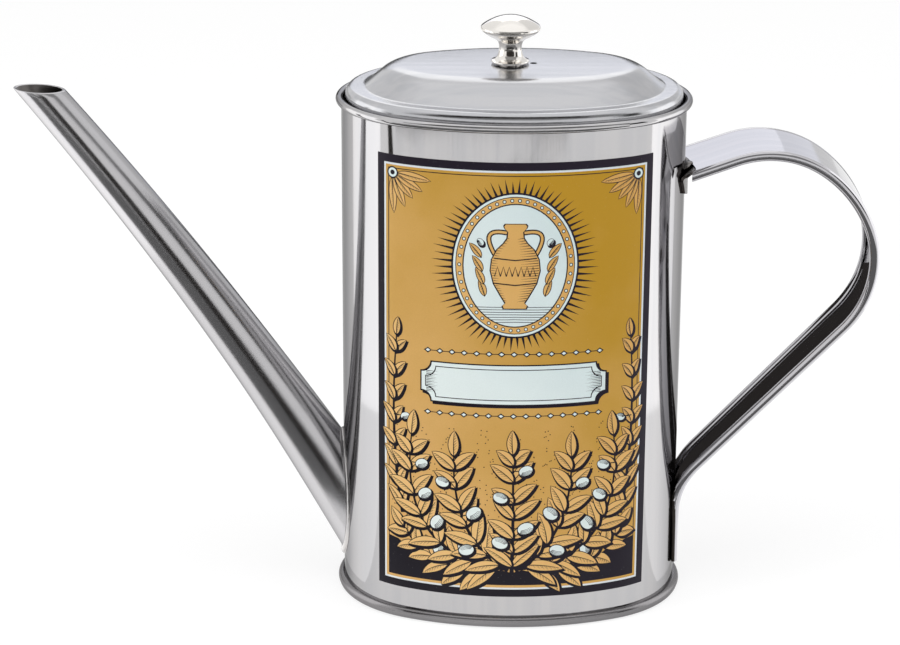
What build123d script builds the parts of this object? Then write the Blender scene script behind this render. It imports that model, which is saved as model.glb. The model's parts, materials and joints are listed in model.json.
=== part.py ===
from build123d import *
from math import atan2, cos, degrees, radians, sin
import os

# An oval oil tin of stainless sheet: a slanting spout at the -X end, a strap
# handle at the +X end, a label on the -Y side and a lid that lifts off along +Z.
# The origin is on the tin's upright axis, at the face that it stands on.
# Lengths are in millimetres and angles in degrees.

# Body
body_half_width = 42.0
body_half_depth = 30.2
side_bulge = 3.2
wall = 0.5
rim_top = 127.55
curl_radius = 0.95
curl_slit = 0.12
wire_clearance = 0.02

# Base
base_sheet = 0.6
hem_height = 2.5
hem_lip = 0.2
hem_bulge = 1.3
hem_foot_round = 0.5

# Ledge for the lid
seat_depth = 5.2
seat_sheet = 0.6
seat_ledge = 3.0
seat_leg = 3.0

# Label
label_half_width = 32.6
label_bottom = 7.8
label_top = 118.5
label_sheet = 0.12

# Spout
spout_axis_height = 24.9
spout_foot_angle = 58.6
spout_turn = 8.0
spout_length = 127.0
spout_foot_radius = 8.2
spout_tip_radius = 4.65
spout_sheet = 0.6
spout_tip_tilt = 3.2
spout_root_share = 0.14
spout_flare_shares = ((0.0, 1.0), (0.3, 0.58), (0.65, 0.27), (1.0, 0.0))
spout_weld_size = 0.8

# Handle
strap_top = 111.1
strap_end_gap = 0.9
strap_rise_angle = 20.0
strap_first_run = 11.0
strap_bend_radii = (25.0, 32.0, 26.0)
strap_bend_turns = (53.5, 34.0, 66.0)
strap_foot_radius = 17.5
strap_sheet = 0.5
strap_top_half_width = 11.7
strap_foot_half_width = 8.3
roll_radius = 1.1
roll_sheet = 0.7
roll_step = 0.12
roll_overhang = 0.25
roll_end_share = 0.5
tail_bottom = 7.8
tail_lap = 2.0
bracket_bottom = 103.2
bracket_half_width = 5.5
bracket_sheet = 0.8
bracket_reach = 8.0
top_weld_half_width = 4.5

# Lid
lid_sheet = 0.6
lid_gap = 0.45
lid_rim_rise = 2.25
lid_corner_radius = 0.8
lid_flange = 3.1
lid_foot_radius = 2.0
lid_slope_angle = 40.0
lid_slope_length = 4.35
lid_shoulder_radius = 9.0
vent_radius = 0.85
vent_offset = 4.6

# Knob and its screw
knob_offset = -1.0
knob_foot_radius = 2.7
knob_foot_height = 0.35
knob_collar_radius = 4.65
knob_collar_height = 0.95
knob_flare_radius = 3.3
knob_flare_height = 1.7
knob_neck_radius = 2.75
knob_neck_height = 4.0
knob_throat_radius = 3.75
knob_throat_height = 6.4
knob_brim_radius = 6.45
knob_brim_height = 7.95
knob_head_radius = 7.25
knob_head_height = 9.1
knob_height = 11.9
screw_radius = 1.5
screw_grip = 5.5
screw_clearance = 0.06
screw_head_radius = 2.7
screw_head_height = 1.6
screw_slot_width = 0.8
screw_slot_depth = 0.9
washer_radius = 3.6
washer_sheet = 0.5

# How far a cut runs past the metal that it cuts
overrun = 2.0

# The oval's side arcs meet its end arcs tangentially, and bulge further out
end_radius = body_half_depth - side_bulge
end_centre = body_half_width - end_radius
side_radius = (body_half_depth**2 + body_half_width**2 - 2 * body_half_width * end_radius) / (
    2 * side_bulge
)
side_centre = side_radius - body_half_depth
end_angle = degrees(atan2(side_centre, end_centre))
side_turn = 180 - 2 * end_angle
outline_arcs = (
    ((end_centre, 0), end_radius, -end_angle, 2 * end_angle),
    ((0, -side_centre), side_radius, end_angle, side_turn),
    ((-end_centre, 0), end_radius, 180 - end_angle, 2 * end_angle),
    ((0, side_centre), side_radius, 180 + end_angle, side_turn),
)

os.makedirs("parts", exist_ok=True)


def oval_face(grow):
    """The body's outline, grown outwards, as a filled sketch."""
    with BuildSketch() as face:
        with BuildLine():
            for centre, radius, start, turn in outline_arcs:
                CenterArc(centre, radius + grow, start, turn)
        make_face()
    return face.sketch


def build_hoop(section):
    """Closed hoop with the same section all round the body.

    In the section x is how far outside the wall's face a point lies, and y is the height.
    """
    with BuildPart() as hoop:
        for centre, radius, start, turn in outline_arcs:
            out_x = cos(radians(start))
            out_y = sin(radians(start))
            foot = (centre[0] + radius * out_x, centre[1] + radius * out_y, 0)
            with BuildSketch(Plane(origin=foot, x_dir=(out_x, out_y, 0), z_dir=(out_y, -out_x, 0))):
                add(section)
            revolve(axis=Axis((*centre, 0), (0, 0, 1)), revolution_arc=turn)
    return hoop.part


def draw_chain(start, heading, steps, depth):
    """Draw tangent runs and bends, moved to the left of their heading by depth.

    A step is (length, 0) for a straight run, or (radius, turn) for a bend, where a
    positive turn is to the left. Returns the end point.
    """
    point = shifted(start, heading, depth)
    for size, turn in steps:
        if turn == 0:
            PolarLine(point, size, heading)
        else:
            radius = size - depth if turn > 0 else size + depth
            aim = (cos(radians(heading)), sin(radians(heading)))
            JernArc(point, aim, radius, turn)
        point = chain_end(point, heading, size, turn, depth)
        heading += turn
    return point


def chain_end(start, heading, size, turn, depth):
    """End point of one run or bend of a chain."""
    if turn == 0:
        return (start[0] + size * cos(radians(heading)), start[1] + size * sin(radians(heading)))
    left = 1 if turn > 0 else -1
    radius = size - left * depth
    centre_x = start[0] - left * radius * sin(radians(heading))
    centre_y = start[1] + left * radius * cos(radians(heading))
    final = radians(heading + turn)
    return (centre_x + left * radius * sin(final), centre_y - left * radius * cos(final))


def chain_strip(start, heading, steps, near, far):
    """The strip between two depths of one chain, as a filled sketch."""
    with BuildSketch() as strip:
        with BuildLine():
            near_end = draw_chain(start, heading, steps, near)
            far_end = draw_chain(start, heading, steps, far)
            Line(shifted(start, heading, near), shifted(start, heading, far))
            Line(near_end, far_end)
        make_face()
    return strip.sketch


def shifted(point, heading, depth):
    """The point moved to the left of a heading."""
    return (point[0] - depth * sin(radians(heading)), point[1] + depth * cos(radians(heading)))


# The room inside and at the wall's outer face, used to cut what ends on the wall
with BuildPart() as body_column:
    with BuildSketch():
        add(oval_face(0))
    extrude(amount=rim_top + overrun)

# Spout: its axis is one long arc in the XZ plane, from the wall up to the tip
spout_bend_radius = spout_length / radians(spout_turn)
spout_start = (-body_half_width, spout_axis_height)
spout_heading = 180 - spout_foot_angle
spout_bend_centre = (
    spout_start[0] - spout_bend_radius * sin(radians(spout_heading)),
    spout_start[1] + spout_bend_radius * cos(radians(spout_heading)),
)


def spout_plane(share):
    """Plane square to the spout's axis at a share of its length from the wall."""
    heading = radians(spout_heading + share * spout_turn)
    x = spout_bend_centre[0] + spout_bend_radius * sin(heading)
    z = spout_bend_centre[1] - spout_bend_radius * cos(heading)
    return Plane(origin=(x, 0, z), x_dir=(0, 1, 0), z_dir=(cos(heading), 0, sin(heading)))


def spout_stations():
    """Shares along the axis with the tube's radius there, run past both ends."""
    flare = spout_foot_radius - spout_tip_radius
    stations = [(share, spout_tip_radius + part * flare) for share, part in spout_flare_shares]
    root_slope = (stations[0][1] - stations[1][1]) / (stations[1][0] - stations[0][0])
    tip_slope = (stations[-2][1] - stations[-1][1]) / (stations[-1][0] - stations[-2][0])
    root = (-spout_root_share, stations[0][1] + root_slope * spout_root_share)
    tip = (1 + spout_root_share, stations[-1][1] - tip_slope * spout_root_share)
    return [root] + stations + [tip]


def build_spout_cone(grow):
    """Solid cone of the spout, grown outwards, longer than the tube at both ends."""
    with BuildPart() as cone:
        for share, radius in spout_stations():
            with BuildSketch(spout_plane(share)):
                Circle(radius + grow)
        loft()
    return cone.part


spout_outer = build_spout_cone(0)
spout_bore = build_spout_cone(-spout_sheet)
tip_origin = spout_plane(1.0).origin
tip_plane = Plane(
    origin=tip_origin,
    x_dir=(cos(radians(spout_tip_tilt)), 0, -sin(radians(spout_tip_tilt))),
    z_dir=(sin(radians(spout_tip_tilt)), 0, cos(radians(spout_tip_tilt))),
)

# Body wall: straight sheet with its upper edge curled outwards round a wire
curl_centre = (curl_radius - wall, rim_top - curl_radius)
curl_bore = curl_radius - wall
with BuildSketch() as wall_section:
    with Locations((-wall, base_sheet)):
        Rectangle(wall, curl_centre[1] - base_sheet, align=(Align.MIN, Align.MIN))
    with Locations(curl_centre):
        Circle(curl_radius)
        Circle(curl_bore, mode=Mode.SUBTRACT)
    with Locations((0, curl_centre[1])):
        Rectangle(curl_slit, curl_radius, align=(Align.MIN, Align.MAX), mode=Mode.SUBTRACT)
with BuildPart() as body_wall:
    add(build_hoop(wall_section.sketch))
    add(spout_bore, mode=Mode.SUBTRACT)
body_wall.part.label = "body_wall"
export_step(body_wall.part, "parts/body_wall.step")

# Rim wire: closed hoop inside the curl
with BuildSketch() as wire_section:
    with Locations(curl_centre):
        Circle(curl_bore - wire_clearance)
with BuildPart() as rim_wire:
    add(build_hoop(wire_section.sketch))
rim_wire.part.label = "rim_wire"
export_step(rim_wire.part, "parts/rim_wire.step")

# Base pan: flat bottom under the wall, its edge turned up outside it as a rounded hem
hem_flat = hem_bulge - hem_foot_round
with BuildSketch() as hem_section:
    with BuildLine():
        Polyline((0, 0), (0, hem_height), (hem_lip, hem_height))
        TangentArc((hem_lip, hem_height), (hem_bulge, hem_foot_round), tangent=(1, 0))
        RadiusArc((hem_bulge, hem_foot_round), (hem_flat, 0), hem_foot_round)
        Line((hem_flat, 0), (0, 0))
    make_face()
with BuildPart() as base_pan:
    add(build_hoop(hem_section.sketch))
    with BuildSketch():
        add(oval_face(0))
    extrude(amount=base_sheet)
base_pan.part.label = "base_pan"
export_step(base_pan.part, "parts/base_pan.step")

# Lid seat ring: angle-section hoop on the inside of the wall
seat_top = rim_top - seat_depth
with BuildSketch() as seat_section:
    with Locations((-wall, seat_top)):
        Rectangle(seat_sheet, seat_leg, align=(Align.MAX, Align.MAX))
        Rectangle(seat_ledge, seat_sheet, align=(Align.MAX, Align.MAX))
with BuildPart() as lid_seat_ring:
    add(build_hoop(seat_section.sketch))
lid_seat_ring.part.label = "lid_seat_ring"
export_step(lid_seat_ring.part, "parts/lid_seat_ring.step")

# Label: printed sheet that follows the front of the wall
with BuildPart() as label:
    with BuildSketch(Plane.XY.offset(label_bottom)):
        add(oval_face(label_sheet))
        add(oval_face(0), mode=Mode.SUBTRACT)
        Rectangle(
            2 * label_half_width,
            body_half_depth + overrun,
            align=(Align.CENTER, Align.MAX),
            mode=Mode.INTERSECT,
        )
    extrude(amount=label_top - label_bottom)
label.part.label = "label"
export_step(label.part, "parts/label.step")

# Spout tube: fitted to the wall's outer face, bored right through, cut almost level
with BuildPart() as spout_tube:
    add(spout_outer)
    add(spout_bore, mode=Mode.SUBTRACT)
    add(body_column.part, mode=Mode.SUBTRACT)
    split(bisect_by=tip_plane, keep=Keep.BOTTOM)
spout_tube.part.label = "spout_tube"
export_step(spout_tube.part, "parts/spout_tube.step")

# Spout weld: raised band all round the tube where it meets the wall
with BuildPart() as spout_weld:
    with BuildSketch():
        add(oval_face(spout_weld_size))
    extrude(amount=rim_top)
    add(build_spout_cone(spout_weld_size), mode=Mode.INTERSECT)
    add(spout_outer, mode=Mode.SUBTRACT)
    add(body_column.part, mode=Mode.SUBTRACT)
spout_weld.part.label = "spout_weld"
export_step(spout_weld.part, "parts/spout_weld.step")

# Handle strap: its outer face follows one chain of runs and bends in the XZ plane,
# out from the wall, over the crest, down a straight leg and onto the wall again
strap_start = (body_half_width + strap_end_gap, strap_top)
upper_steps = [(strap_first_run, 0)]
for bend_radius, bend_turn in zip(strap_bend_radii, strap_bend_turns):
    upper_steps.append((bend_radius, -bend_turn))
leg_heading = strap_rise_angle - sum(strap_bend_turns)
foot_turn = -90 - leg_heading
leg_start = strap_start
step_heading = strap_rise_angle
for step_size, step_turn in upper_steps:
    leg_start = chain_end(leg_start, step_heading, step_size, step_turn, 0)
    step_heading += step_turn
foot_reach = strap_foot_radius * (1 - cos(radians(foot_turn)))
foot_face = body_half_width + strap_sheet + 2 * roll_step
leg_length = (leg_start[0] - foot_reach - foot_face) / -cos(radians(leg_heading))
strap_steps = upper_steps + [(leg_length, 0), (strap_foot_radius, foot_turn)]
roll_start = chain_end(strap_start, strap_rise_angle, -roll_overhang, 0, 0)
roll_steps = [(roll_overhang, 0)] + upper_steps
roll_steps += [(leg_length, 0), (strap_foot_radius, foot_turn * roll_end_share)]
leg_drop = leg_length * -sin(radians(leg_heading))
tail_top = leg_start[1] - leg_drop - strap_foot_radius * sin(radians(foot_turn))
strap_taper = (strap_top_half_width - strap_foot_half_width) / (strap_top - tail_bottom)


def strap_half_width(height):
    """Half of the strap's full width at a height."""
    return strap_foot_half_width + strap_taper * (height - tail_bottom)


strap_inner = roll_step + strap_sheet
crest_height = strap_top + sum(strap_bend_radii)
with BuildPart() as handle_strap:
    with BuildSketch(Plane.XZ):
        add(chain_strip(strap_start, strap_rise_angle, strap_steps, -roll_step, -strap_inner))
    extrude(amount=strap_half_width(crest_height), both=True)
    with BuildSketch(Plane.YZ):
        with BuildLine():
            foot_half = strap_half_width(0) - roll_radius
            crest_half = strap_half_width(crest_height) - roll_radius
            Polyline(
                (-foot_half, 0),
                (foot_half, 0),
                (crest_half, crest_height),
                (-crest_half, crest_height),
                close=True,
            )
        make_face()
    extrude(amount=2 * leg_start[0], mode=Mode.INTERSECT)
    for side in (1, -1):
        roll_plane = Plane(
            origin=(0, side * foot_half, 0), x_dir=(1, 0, 0), z_dir=(0, -1, side * strap_taper)
        )
        with BuildLine(roll_plane) as roll_line:
            draw_chain(roll_start, strap_rise_angle, roll_steps, -roll_radius)
        roll_path = roll_line.wire()
        with BuildSketch(Plane(origin=roll_path @ 0, z_dir=roll_path % 0)):
            Circle(roll_radius)
            Circle(roll_radius - roll_sheet, mode=Mode.SUBTRACT)
        sweep(path=roll_path)
    with BuildSketch(Plane.XY.offset(tail_bottom)):
        add(oval_face(strap_sheet))
        add(oval_face(0), mode=Mode.SUBTRACT)
        with Locations((body_half_width, 0)):
            Rectangle(end_radius, 2 * strap_half_width(tail_bottom), mode=Mode.INTERSECT)
    extrude(amount=tail_top + tail_lap - tail_bottom)
handle_strap.part.label = "handle_strap"
export_step(handle_strap.part, "parts/handle_strap.step")

# Handle bracket: bent tab, one leg on the wall and one under the strap's upper end
under_start = shifted(strap_start, strap_rise_angle, -strap_inner)
under_plane = Plane(
    origin=(under_start[0], 0, under_start[1]),
    x_dir=(cos(radians(strap_rise_angle)), 0, sin(radians(strap_rise_angle))),
    z_dir=(-sin(radians(strap_rise_angle)), 0, cos(radians(strap_rise_angle))),
)
with BuildPart() as handle_bracket:
    with BuildSketch(Plane.XY.offset(bracket_bottom)):
        add(oval_face(bracket_sheet))
        add(oval_face(0), mode=Mode.SUBTRACT)
        with Locations((body_half_width, 0)):
            Rectangle(end_radius, 2 * bracket_half_width, mode=Mode.INTERSECT)
    extrude(amount=strap_top - bracket_bottom)
    with BuildSketch(under_plane):
        with Locations((-strap_end_gap, 0)):
            Rectangle(
                bracket_reach + strap_end_gap,
                2 * bracket_half_width,
                align=(Align.MIN, Align.CENTER),
            )
    extrude(amount=-bracket_sheet)
    split(bisect_by=under_plane, keep=Keep.BOTTOM)
    add(body_column.part, mode=Mode.SUBTRACT)
handle_bracket.part.label = "handle_bracket"
export_step(handle_bracket.part, "parts/handle_bracket.step")

# Handle top weld: bead that fills the gap between the strap's end and the wall
with BuildPart() as handle_top_weld:
    with BuildSketch(Plane.XY.offset(under_start[1])):
        with Locations((body_half_width - strap_end_gap, 0)):
            Rectangle(
                3 * strap_end_gap, 2 * top_weld_half_width, align=(Align.MIN, Align.CENTER)
            )
    extrude(amount=strap_sheet)
    add(body_column.part, mode=Mode.SUBTRACT)
    add(handle_strap.part, mode=Mode.SUBTRACT)
    add(handle_bracket.part, mode=Mode.SUBTRACT)
handle_top_weld.part.label = "handle_top_weld"
export_step(handle_top_weld.part, "parts/handle_top_weld.step")

# Lid cover: the skirt stands on the seat, then come the flat flange, the sloping
# side and the flat top, all of one sheet
lid_skirt_face = -wall - lid_gap
lid_flange_top = rim_top + lid_rim_rise
lid_steps = [
    (lid_flange_top - lid_corner_radius - seat_top, 0),
    (lid_corner_radius, 90),
    (lid_flange, 0),
    (lid_foot_radius, -lid_slope_angle),
    (lid_slope_length, 0),
    (lid_shoulder_radius, lid_slope_angle),
]
lid_point = (lid_skirt_face, seat_top)
lid_heading = 90
for step_size, step_turn in lid_steps:
    lid_point = chain_end(lid_point, lid_heading, step_size, step_turn, 0)
    lid_heading += step_turn
lid_inset, lid_top = lid_point
lid_section = chain_strip((lid_skirt_face, seat_top), 90, lid_steps, 0, lid_sheet)
with BuildPart() as lid_cover:
    add(build_hoop(lid_section))
    with BuildSketch(Plane.XY.offset(lid_top - lid_sheet)):
        add(oval_face(lid_inset))
    extrude(amount=lid_sheet)
    with Locations((vent_offset, 0, lid_top)):
        Hole(vent_radius, depth=lid_sheet + overrun)
    with Locations((knob_offset, 0, lid_top)):
        Hole(screw_radius + screw_clearance, depth=lid_sheet + overrun)
lid_cover.part.label = "lid_cover"
export_step(lid_cover.part, "parts/lid_cover.step")

# Knob: turned in one piece, with a blind hole for the screw
knob_plane = Plane(origin=(knob_offset, 0, lid_top), x_dir=(1, 0, 0), z_dir=(0, -1, 0))
knob_axis = Axis((knob_offset, 0, lid_top), (0, 0, 1))
collar_middle = (knob_foot_height + knob_collar_height) / 2
collar_round = collar_middle - knob_foot_height
collar_flat = knob_collar_radius - collar_round
cap_rise = knob_height - knob_head_height
cap_radius = (knob_head_radius**2 + cap_rise**2) / (2 * cap_rise)
cap_angle = degrees(atan2(knob_head_radius, cap_radius - cap_rise))
with BuildPart() as knob:
    with BuildSketch(knob_plane):
        with BuildLine():
            Polyline(
                (0, knob_height),
                (0, 0),
                (knob_foot_radius, 0),
                (knob_foot_radius, knob_foot_height),
                (collar_flat, knob_foot_height),
            )
            ThreePointArc(
                (collar_flat, knob_foot_height),
                (knob_collar_radius, collar_middle),
                (collar_flat, knob_collar_height),
            )
            Spline(
                (collar_flat, knob_collar_height),
                (knob_flare_radius, knob_flare_height),
                (knob_neck_radius, knob_neck_height),
                (knob_throat_radius, knob_throat_height),
                (knob_brim_radius, knob_brim_height),
                tangents=((-1, 0), (1, 1)),
            )
            TangentArc(
                (knob_brim_radius, knob_brim_height),
                (knob_head_radius, knob_head_height),
                tangent=(1, 1),
            )
            JernArc((0, knob_height), (1, 0), cap_radius, -cap_angle)
        make_face()
    revolve(axis=knob_axis)
    with BuildSketch(Plane.XY.offset(lid_top)):
        with Locations((knob_offset, 0)):
            Circle(screw_radius + screw_clearance)
    extrude(amount=screw_grip + screw_clearance, mode=Mode.SUBTRACT)
knob.part.label = "knob"
export_step(knob.part, "parts/knob.step")

# Washer and slotted screw under the lid
lid_underside = lid_top - lid_sheet
head_top = lid_underside - washer_sheet
with BuildPart() as knob_washer:
    with BuildSketch(Plane.XY.offset(head_top)):
        with Locations((knob_offset, 0)):
            Circle(washer_radius)
            Circle(screw_radius + screw_clearance, mode=Mode.SUBTRACT)
    extrude(amount=washer_sheet)
knob_washer.part.label = "knob_washer"
export_step(knob_washer.part, "parts/knob_washer.step")

with BuildPart() as knob_screw:
    with BuildSketch(Plane.XY.offset(head_top - screw_head_height)):
        with Locations((knob_offset, 0)):
            Circle(screw_head_radius)
    extrude(amount=screw_head_height)
    with BuildSketch(Plane.XY.offset(head_top)):
        with Locations((knob_offset, 0)):
            Circle(screw_radius)
    extrude(amount=washer_sheet + lid_sheet + screw_grip)
    with BuildSketch(Plane.XY.offset(head_top - screw_head_height)):
        with Locations((knob_offset, 0)):
            Rectangle(2 * screw_head_radius, screw_slot_width)
    extrude(amount=screw_slot_depth, mode=Mode.SUBTRACT)
knob_screw.part.label = "knob_screw"
export_step(knob_screw.part, "parts/knob_screw.step")
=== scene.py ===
import json
import math
import random

import bmesh
import bpy
import numpy as np
from mathutils import Matrix, Vector
from mathutils.geometry import delaunay_2d_cdt

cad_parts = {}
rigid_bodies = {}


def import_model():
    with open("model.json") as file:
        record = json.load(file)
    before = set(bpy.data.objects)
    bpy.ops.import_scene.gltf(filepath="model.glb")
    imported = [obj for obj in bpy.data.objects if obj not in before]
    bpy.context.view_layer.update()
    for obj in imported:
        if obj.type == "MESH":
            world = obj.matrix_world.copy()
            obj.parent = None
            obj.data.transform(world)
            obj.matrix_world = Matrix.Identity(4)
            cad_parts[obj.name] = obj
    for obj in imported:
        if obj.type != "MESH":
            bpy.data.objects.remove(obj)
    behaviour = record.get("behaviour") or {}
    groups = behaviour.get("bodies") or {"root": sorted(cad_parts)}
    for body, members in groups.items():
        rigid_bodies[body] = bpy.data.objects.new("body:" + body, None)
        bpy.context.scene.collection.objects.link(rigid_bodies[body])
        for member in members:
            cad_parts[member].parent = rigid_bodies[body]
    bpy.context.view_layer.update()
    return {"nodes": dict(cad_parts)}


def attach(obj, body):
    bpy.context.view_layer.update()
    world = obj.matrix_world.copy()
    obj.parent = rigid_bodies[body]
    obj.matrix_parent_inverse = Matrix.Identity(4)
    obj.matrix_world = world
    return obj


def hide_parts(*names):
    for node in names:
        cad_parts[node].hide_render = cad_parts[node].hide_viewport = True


# Blender's own first objects go, and the tin's solids come in
for spare in list(bpy.data.objects):
    bpy.data.objects.remove(spare)
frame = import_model()
nodes = frame["nodes"]
MM = 0.001

# Camera. A long lens in front of the label side, a little above the tin, so that the
# spout runs off to the left and the handle to the right.
camera_pitch = math.radians(18.715)
camera_turn = math.radians(-0.144)
camera_roll = math.radians(0.293)
camera_aim = Vector((-15.32, 0, 68.79)) * MM
camera_distance = 728.6 * MM
sensor_width = 36
image_width = 900
lens_in_pixels = 2921.94
sight = Vector((
    -math.sin(camera_turn) * math.cos(camera_pitch),
    math.cos(camera_turn) * math.cos(camera_pitch),
    -math.sin(camera_pitch),
))
level_right = Vector((math.cos(camera_turn), math.sin(camera_turn), 0))
level_up = level_right.cross(sight)
camera_right = math.cos(camera_roll) * level_right + math.sin(camera_roll) * level_up
camera_up = math.cos(camera_roll) * level_up - math.sin(camera_roll) * level_right
lens_data = bpy.data.cameras.new("tin_camera")
lens_data.sensor_width = sensor_width
lens_data.sensor_fit = "HORIZONTAL"
lens_data.lens = sensor_width * lens_in_pixels / image_width
lens_data.clip_start = 0.05
lens_data.clip_end = 20
camera = bpy.data.objects.new("tin_camera", lens_data)
bpy.context.scene.collection.objects.link(camera)
turned = Matrix((camera_right, camera_up, -sight)).transposed().to_4x4()
camera.matrix_world = Matrix.Translation(camera_aim - camera_distance * sight) @ turned
bpy.context.scene.camera = camera
bpy.context.scene.view_settings.view_transform = "Standard"


# Studio. A white floor that runs into a white backdrop, soft lamps above, and the
# bright and dark boards that polished metal needs around it. None of it is the tin.
def new_material(name):
    """Empty node material; returns it with its nodes and its output."""
    material = bpy.data.materials.new(name)
    material.use_nodes = True
    tree = material.node_tree
    tree.nodes.clear()
    return material, tree, tree.nodes.new("ShaderNodeOutputMaterial")


def plug(tree, socket, value):
    """Link a socket to another, or set the socket's own value."""
    if isinstance(value, bpy.types.NodeSocket):
        tree.links.new(value, socket)
    elif socket.type == "RGBA":
        socket.default_value = (*value, 1)
    else:
        socket.default_value = value


def add_node(tree, kind, inputs=None, **settings):
    """One shader node with its settings, and its inputs given as values or sockets."""
    node = tree.nodes.new("ShaderNode" + kind)
    for key, value in settings.items():
        setattr(node, key, value)
    for key, value in (inputs or {}).items():
        plug(tree, node.inputs[key], value)
    return node


def number(tree, operation, *values):
    """Math node; returns its output."""
    return add_node(tree, "Math", dict(enumerate(values)), operation=operation).outputs[0]


def build_mesh(name, points, faces, unit=MM):
    """Mesh object from points and faces."""
    mesh = bpy.data.meshes.new(name)
    mesh.from_pydata([tuple(unit * c for c in point) for point in points], [], faces)
    mesh.update()
    piece = bpy.data.objects.new(name, mesh)
    bpy.context.scene.collection.objects.link(piece)
    return piece


floor_radius = 4000
floor_drop = 0.2
floor_corners = 96
floor_points = [(0, 0, -floor_drop)]
for i in range(floor_corners):
    angle = 2 * math.pi * i / floor_corners
    floor_points.append((floor_radius * math.cos(angle), floor_radius * math.sin(angle), -floor_drop))
floor_faces = [(0, i + 1, (i + 1) % floor_corners + 1) for i in range(floor_corners)]
floor = build_mesh("studio_floor", floor_points, floor_faces)


def seen_rays(tree):
    """1 for the rays that show the background: the camera's, mirrored and passing ones."""
    rays = add_node(tree, "LightPath")
    shown = number(tree, "MAXIMUM", rays.outputs["Is Camera Ray"], rays.outputs["Is Glossy Ray"])
    return number(tree, "MAXIMUM", shown, rays.outputs["Is Transmission Ray"])


floor_paper = (0.88, 0.88, 0.88)
shadow_paper = (0.26, 0.26, 0.26)
floor_glow = 0.77
material, tree, output = new_material("white_floor")
paper = add_node(tree, "BsdfDiffuse", {"Color": floor_paper})
shadow = add_node(tree, "BsdfDiffuse", {"Color": shadow_paper})
glow = add_node(tree, "Emission", {"Color": (1, 1, 1), "Strength": floor_glow})
white = add_node(tree, "AddShader", {0: shadow.outputs[0], 1: glow.outputs[0]})
both = add_node(tree, "MixShader", {0: seen_rays(tree), 1: paper.outputs[0], 2: white.outputs[0]})
plug(tree, output.inputs["Surface"], both.outputs[0])
floor.data.materials.append(material)

room_light = 0.55
room_shown = 1.0
world = bpy.data.worlds.new("white_room")
bpy.context.scene.world = world
world.use_nodes = True
tree = world.node_tree
tree.nodes.clear()
level = add_node(tree, "Mix", {"Factor": seen_rays(tree), "A": room_light, "B": room_shown},
                 data_type="FLOAT")
room = add_node(tree, "Background", {"Color": (1, 1, 1), "Strength": level.outputs[0]})
add_node(tree, "OutputWorld", {"Surface": room.outputs[0]})
lamp_aim = Vector((0, 0, 0.06))


def add_lamp(name, place, size, watts):
    """Rectangular soft lamp aimed at the tin, in metres; in reflections boards stand for it."""
    data = bpy.data.lights.new(name, "AREA")
    data.shape = "RECTANGLE"
    data.size, data.size_y = size
    data.energy = watts
    lamp = bpy.data.objects.new(name, data)
    bpy.context.scene.collection.objects.link(lamp)
    lamp.location = place
    lamp.rotation_euler = (lamp_aim - Vector(place)).to_track_quat("-Z", "Y").to_euler()
    lamp.visible_glossy = False


add_lamp("lamp_above", (0.1, -0.3, 1.3), (1.1, 0.8), 7.0)
add_lamp("lamp_left", (-1.1, -0.5, 0.8), (0.5, 0.9), 5.5)
add_lamp("lamp_right", (1.1, -0.4, 0.7), (0.4, 0.9), 3.0)
board_columns = 24
card_level = -floor_drop / 2
pure_white = (1, 1, 1)
cool_white = (0.97, 0.985, 1.05)
warm_black = (1, 0.9, 0.85)
black_strength = 0.03


def make_board(name, points, faces, strength, tone=pure_white, back_clear=False):
    """Board that only shows in reflections, and from its front alone if its back is clear."""
    board = build_mesh(name, points, faces)
    material, tree, output = new_material(name)
    surface = add_node(tree, "Emission", {"Color": tone, "Strength": strength})
    if back_clear:
        behind = add_node(tree, "NewGeometry").outputs["Backfacing"]
        clear = add_node(tree, "BsdfTransparent")
        surface = add_node(tree, "MixShader", {0: behind, 1: surface.outputs[0], 2: clear.outputs[0]})
    plug(tree, output.inputs["Surface"], surface.outputs[0])
    board.data.materials.append(material)
    board.visible_camera = False
    board.visible_diffuse = False
    board.visible_shadow = False


def add_board(name, heading, spread, first_edge, last_edge, strength, tone=pure_white):
    """Curved board round the tin, between two edges given as (distance, height).

    Heading and spread are in degrees round the tin, from the label side towards the
    handle. A card lies on the floor, and a strength near zero is black.
    """
    points = []
    for i in range(board_columns + 1):
        angle = math.radians(heading + spread * (i / board_columns - 0.5))
        for distance, height in (first_edge, last_edge):
            points.append((distance * math.sin(angle), -distance * math.cos(angle), height))
    faces = [(2 * i, 2 * i + 2, 2 * i + 3, 2 * i + 1) for i in range(board_columns)]
    make_board(name, points, faces, strength, tone)


def add_card(name, heading, spread, near, far, strength):
    """Flat card on the floor, a part of a ring round the tin."""
    add_board(name, heading, spread, (far, card_level), (near, card_level), strength)


def add_flag(name, corners, back_clear=False):
    """Small black board near the tin, given by its four corners."""
    make_board(name, corners, [(0, 1, 2, 3)], black_strength, warm_black, back_clear)


add_board("board_right", 97, 38, (175, 0), (175, 190), 1.7)
add_board("board_left", -95, 40, (175, 0), (175, 190), 1.7)
add_card("sheen_right", 97, 38, 50, 174, 1.3)
add_card("sheen_left", -95, 40, 50, 174, 1.3)
add_board("board_back", 181, 32, (1200, 330), (1200, 620), 1.2, cool_white)
add_board("board_top", 181, 36, (1180, 600), (1180, 1600), 1.6)
add_board("board_crest", 157, 18, (1140, 150), (1140, 400), 0.95, cool_white)
add_board("edge_back_left", -157, 50, (1150, 0), (1150, 250), 0.6)
add_board("edge_back_right", 157, 50, (1150, 0), (1150, 250), 0.75)
add_board("edge_back", 182, 30, (1130, 0), (1130, 330), 0.08)
add_card("card_back", 177, 18, 150, 1140, 0.5)
add_card("card_tail", 162, 38, 30, 125, 0.62)
add_board("board_front", 4, 112, (800, 500), (800, 1500), 0.3)
add_board("shade_right", 140, 44, (900, 320), (900, 1300), 0.8)
add_board("shade_left", -140, 44, (900, 320), (900, 1300), 0.92)
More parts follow.
